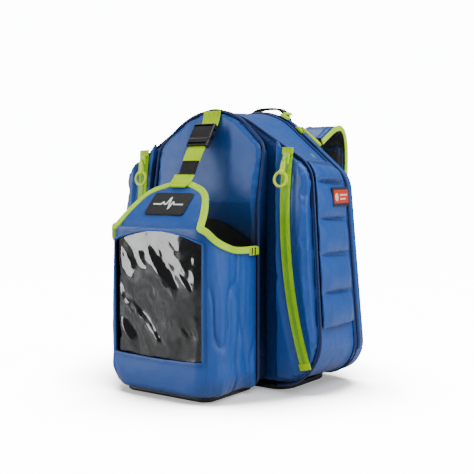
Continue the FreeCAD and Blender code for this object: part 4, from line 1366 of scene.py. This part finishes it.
def finish_pads(pads):
    right, lumbar = pads
    left = mirror_copy(right, "back_pad_left_soft")

    def shape(p, n):
        z = p[:, 2]
        groove = sum(np.exp(-((z - seam) / 3.2) ** 2) for seam in (218.0, 278.0, 338.0))
        move = -4.2 * groove * smooth(0.2, 0.7, n[:, 1]) + folds(p, (30, 30, 30), 71) * 0.6
        p = p + n * move[:, None]
        p[:, 1] = np.maximum(p[:, 1], 112.5)
        return p
    for piece, name in ((right, "back_pad_right"), (left, "back_pad_left"),
                        (lumbar, "lumbar_pad")):
        refine(piece, shape)
        dress(piece, "back_door", black_mesh, "black_mesh", [name], 0.7)


def build_dividers():
    """Padded shelves of the main compartment."""
    for name, seed in (("divider_lower", 81), ("divider_upper", 83)):

        def shape(p, n):
            return p + n * (folds(p, (60, 60, 60), seed) * 0.9 - 0.6)[:, None]
        soft(name + "_soft", name, 3.6, 0.2, shape, "front_shell", liner_fabric, "liner_grey",
             0.5)


def build_mesh_pocket():
    """Mesh pocket inside the door, with a bound top edge."""
    def shape(p, n):
        return p + n * ((folds(p, (50, 30, 60), 91) - 0.8) * 1.5)[:, None]
    soft("mesh_pocket_soft", "mesh_pocket", 3.6, 0.3, shape, "back_door", black_mesh,
         "black_mesh", 0.3)
    rows = resample(np.array([(128.0, 75.2, 372), (-128.0, 75.2, 372)]), 4)
    strip = band(rows, [0, -1.0, 0], flat(12, 1.6, 0.2))
    put("mesh_pocket_edge", [strip], "back_door", black_web, "black_webbing")


# Middle line of a shoulder strap in side view, (y, z), and its distance from the middle.
STRAP_SIDE = [(121, 446), (146, 460), (176, 474), (200, 472), (213, 448), (216, 400),
              (209, 320), (194, 240), (175, 180)]
STRAP_X = 89.0


def build_shoulder_strap():
    strap = start_soft("shoulder_strap_right_soft", ["shoulder_strap_right"], 4.0, 1.4)
    swell(strap, 4.0, 4, 12)
    return strap


def finish_shoulder_strap(right):
    left = mirror_copy(right, "shoulder_strap_left_soft")
    line = spline([(0, y, z) for y, z in STRAP_SIDE], 4)
    up = unit(np.cross(np.gradient(line, axis=0), [1.0, 0, 0]))
    up = up * np.where((up[:, 1:2] + up[:, 2:]) < 0, -1, 1)
    for piece, side, sign in ((right, "right", 1), (left, "left", -1)):

        def shape(p, n):
            across = np.abs(p[:, 0] * sign - STRAP_X)
            seam = np.exp(-((across - 23) / 2.2) ** 2)
            pull = folds(p, (40, 26, 26), 95 + sign) * 0.8
            return p + n * (pull - seam * 1.8)[:, None]
        refine(piece, shape)
        inner_faces(piece, (sign * STRAP_X, 120, 330), blue_fabric, black_mesh, 0.35)
        dress(piece, "back_door", blue_fabric, "blue_fabric", ["shoulder_strap_" + side], 0.6)
        bindings = []
        for x in (-33.0, 33.0):
            edge = line + [sign * STRAP_X + x, 0, 0]
            bindings.append(band(edge, [math.copysign(1, x), 0, 0],
                                 flat(11, 2.2, -0.8)))
        put("strap_binding_" + side, bindings, "back_door", lime_edge, "lime_webbing")
        spine = line + up * 8.4 + [sign * STRAP_X, 0, 0]
        start = int(len(spine) * 0.42)
        top = band(spine[start:], up[start:], flat(25, 1.8, 1.2))
        put("strap_daisy_" + side, [top], "back_door", black_web, "black_webbing")


def build_harness():
    """Lower straps, yoke, anchors and the grab handle."""
    low = spline([(0, 156, 140), (0, 146, 110), (0, 132, 84), (0, 118, 62)], 3)
    for side, sign in (("right", 1), ("left", -1)):
        rows = low + [sign * STRAP_X, 0, 0]
        strap = band(rows, side_normals(rows), flat(25, 2.0, -1.0))
        put("lower_strap_%s_soft" % side, [strap], "back_door", black_web, "black_webbing",
            ["lower_strap_" + side])
    rows = resample(np.array([(125.0, 112.5, 421), (-125.0, 112.5, 421)]), 4)
    yoke = band(rows, [0, 1.0, 0], flat(33, 2.8, 0.1))
    sewn = [beads(rows, [0, 1.0, 0], 3.4, (1.3, 0.4, 0.3), across=x,
                  lift=3.1) for x in (-14, 14)]
    put("yoke_webbing", [yoke], "back_door", black_web, "black_webbing", ["harness_yoke"])
    anchors = []
    for sign in (1, -1):
        spots = resample(np.array([(sign * 69.0, 112.5, 57), (sign * 109.0, 112.5, 57)]), 4)
        anchors.append(band(spots, [0, 1.0, 0], flat(29, 2.8, 0.1)))
    put("anchor_webbing", anchors, "back_door", black_web, "black_webbing", ["strap_anchors"])
    put("yoke_stitching", sewn, "back_door", thread_finish, "black_webbing")
    arch = spline([(50, 122.7, 478), (33, 122.7, 508), (0, 122.7, 514), (-33, 122.7, 508),
                   (-50, 122.7, 478)], 2)
    handle = band(arch, outward_xz(arch), flat(20, 4.0, -2.0))
    put("handle_webbing", [handle], "carry_handle", black_web, "black_webbing", ["grab_handle"])


def build_boots():
    """Tarpaulin boots under the shell and the pouch."""
    for name, seed in (("base_boot", 101), ("pouch_boot", 103)):

        def shape(p, n):
            move = (folds(p, (40, 40, 20), seed) - 0.6) * 0.8 * smooth(0.5, 3, p[:, 2])
            drawn_in = (0.8, 0.92, 1) if name == "base_boot" else (1, 1, 1)
            return (p + n * move[:, None] - [0, 27, 0]) * drawn_in + [0, 27, 0]
        soft(name + "_soft", name, 3.2, 0.0, shape, "front_shell", black_fabric,
             "black_tarpaulin")


def build_label():
    """Small woven side label: dark border, red field, plain bars instead of words."""
    place = Matrix.Translation(Vector((211.3, -2, 328))) @ Matrix.Rotation(
        math.radians(6), 4, "Z") @ Matrix.Rotation(math.radians(-5), 4, "Y")
    face = place @ Matrix.Rotation(math.pi / 2, 4, "Z") @ Matrix.Rotation(math.pi / 2, 4, "X")

    def rounded(x, y, wide, tall, lift, gauge, radius):
        points = [(x, y), (x + wide, y), (x + wide, y + tall), (x, y + tall)]
        spot = face @ Matrix.Translation(Vector((0, 0, lift)))
        return plate(corner_path(points, [radius] * 4, 4), gauge, spot, 0.3)

    put("label_border", [rounded(0, 0, 72, 34, 6.0, 1.6, 2)], "front_shell", label_edge,
        "label_red", ["side_label"])
    put("label_field", [rounded(5, 5, 62, 24, 7.5, 0.5, 1.5)], "front_shell", label_finish,
        "label_red")
    bars = [rounded(30, 18, 32, 3.2, 7.9, 0.35, 1), rounded(30, 11, 24, 3.2, 7.9, 0.35, 1),
            rounded(9, 9, 14, 14, 7.9, 0.35, 6.5)]
    put("label_bars", bars, "front_shell", label_mark, "label_red")


# ---------------------------------------------------------------- build

build_shell()
build_quilts()
wing = build_wings()
tier = build_tier()
pads = build_pads()
shoulder = build_shoulder_strap()
run_swelling()
finish_wings(wing)
finish_tier(tier)
finish_pads(pads)
finish_shoulder_strap(shoulder)
build_pipings()
build_pouch()
build_window()
build_pouch_backing()
build_window_trim()
build_flap()
build_binding()
build_patch()
build_strap()
build_wing_zippers()
build_wing_pulls()
build_main_zipper()
build_main_pulls()
build_door()
build_dividers()
build_mesh_pocket()
build_harness()
build_boots()
build_label()

for names, finish in ((("buckle_female", "buckle_male", "prong_right", "prong_left",
                        "ladder_locks"), black_plastic),
                      (("wing_slider_right", "wing_slider_left", "main_slider_right",
                        "main_slider_left"), slider_finish),
                      (("frame_sheet",), board_finish)):
    for name in names:
        for slot in NODES[name].material_slots:
            slot.material = finish

# ---------------------------------------------------------------- stage, light and camera


def plane(name, size, place):
    mesh = bpy.data.meshes.new(name)
    half = size / 2
    mesh.from_pydata([(-half, -half, 0), (half, -half, 0), (half, half, 0), (-half, half, 0)], [],
                     [(0, 1, 2, 3)])
    made = placed(name, mesh)
    made.matrix_world = place
    return made


# The camera sees floor and background nearly white; only the dim part of each lights the pack.
SEEN_GLOW, LIT_GLOW = 14.0, 0.34
floor = plane("floor", 12, Matrix.Translation((0, 0, -0.0003)))
floor_finish, floor_tree = new_material("floor_white")
floor_coords = node(floor_tree, "TexCoord").outputs["Object"]
floor_tone = shades(floor_tree, noise_of(floor_tree, floor_coords, 3), (0.3, (0.5, 0.5, 0.51)),
                    (0.7, (0.9, 0.9, 0.9)))
floor.data.materials.append(surface(floor_finish, floor_tone, 0.6,
                                    noise_of(floor_tree, floor_coords, 300), 0.0001,
                                    Emission_Color=(1, 1, 1, 1)))
floor_seen = node(floor_tree, "LightPath").outputs["Is Camera Ray"]
# Painted shadow: near the pack, ambient occlusion dims the floor's glow seen by the camera.
floor_painted_shadow_ao = node(floor_tree, "AmbientOcclusion", {"Distance": 0.22}).outputs["AO"]
floor_glow_and_painted_shadow = remapped(floor_tree, floor_painted_shadow_ao, 0.5, 0.97, 0.3, SEEN_GLOW)
floor_shader = next(n for n in floor_tree.nodes if n.type == "BSDF_PRINCIPLED")
floor_tree.links.new(maths(floor_tree, "MULTIPLY", floor_glow_and_painted_shadow, floor_seen),
                     floor_shader.inputs["Emission Strength"])

world = bpy.data.worlds.new("studio")
bpy.context.scene.world = world
world.use_nodes = True
sky = world.node_tree.nodes["Background"]
sky.inputs[0].default_value = (0.95, 0.97, 1.0, 1)
seen = node(world.node_tree, "LightPath").outputs["Is Camera Ray"]
world.node_tree.links.new(maths(world.node_tree, "MULTIPLY_ADD", seen, SEEN_GLOW, LIT_GLOW),
                           sky.inputs[1])


def softbox(name, place, target, size, power, size_y=None):
    data = bpy.data.lights.new(name, "AREA")
    data.shape = "RECTANGLE"
    data.size, data.size_y = size, size_y or size
    data.energy = power
    lamp = placed(name, data)
    lamp.location = place
    lamp.rotation_euler = (Vector(target) - Vector(place)).to_track_quat("-Z", "Y").to_euler()


softbox("key_light", (1.5, -0.2, 2.1), (0.05, -0.05, 0.25), 1.2, 56)
softbox("top_light", (-0.8, 0.5, 2.2), (0, -0.05, 0.3), 1.0, 22)
softbox("side_light", (2.3, 0.5, 0.9), (0.1, 0.0, 0.28), 1.0, 18)
softbox("fill_light", (-2.0, -1.2, 1.2), (0, -0.1, 0.25), 1.2, 11)
softbox("window_light", (-1.1, -1.4, 0.5), (0, -0.2, 0.2), 0.4, 15, 0.9)

AZIMUTH, ELEVATION, DISTANCE = math.radians(36), math.radians(4), 1.6
target = Vector((0.08, -0.098, 0.275))
ahead = Vector((-math.sin(AZIMUTH) * math.cos(ELEVATION),
                math.cos(AZIMUTH) * math.cos(ELEVATION), -math.sin(ELEVATION)))
camera_data = bpy.data.cameras.new("camera")
camera_data.lens = 69.1
camera_data.sensor_width = 36
camera = placed("camera", camera_data)
camera.location = target - ahead * DISTANCE
camera.rotation_euler = ahead.to_track_quat("-Z", "Y").to_euler()
bpy.context.scene.camera = camera
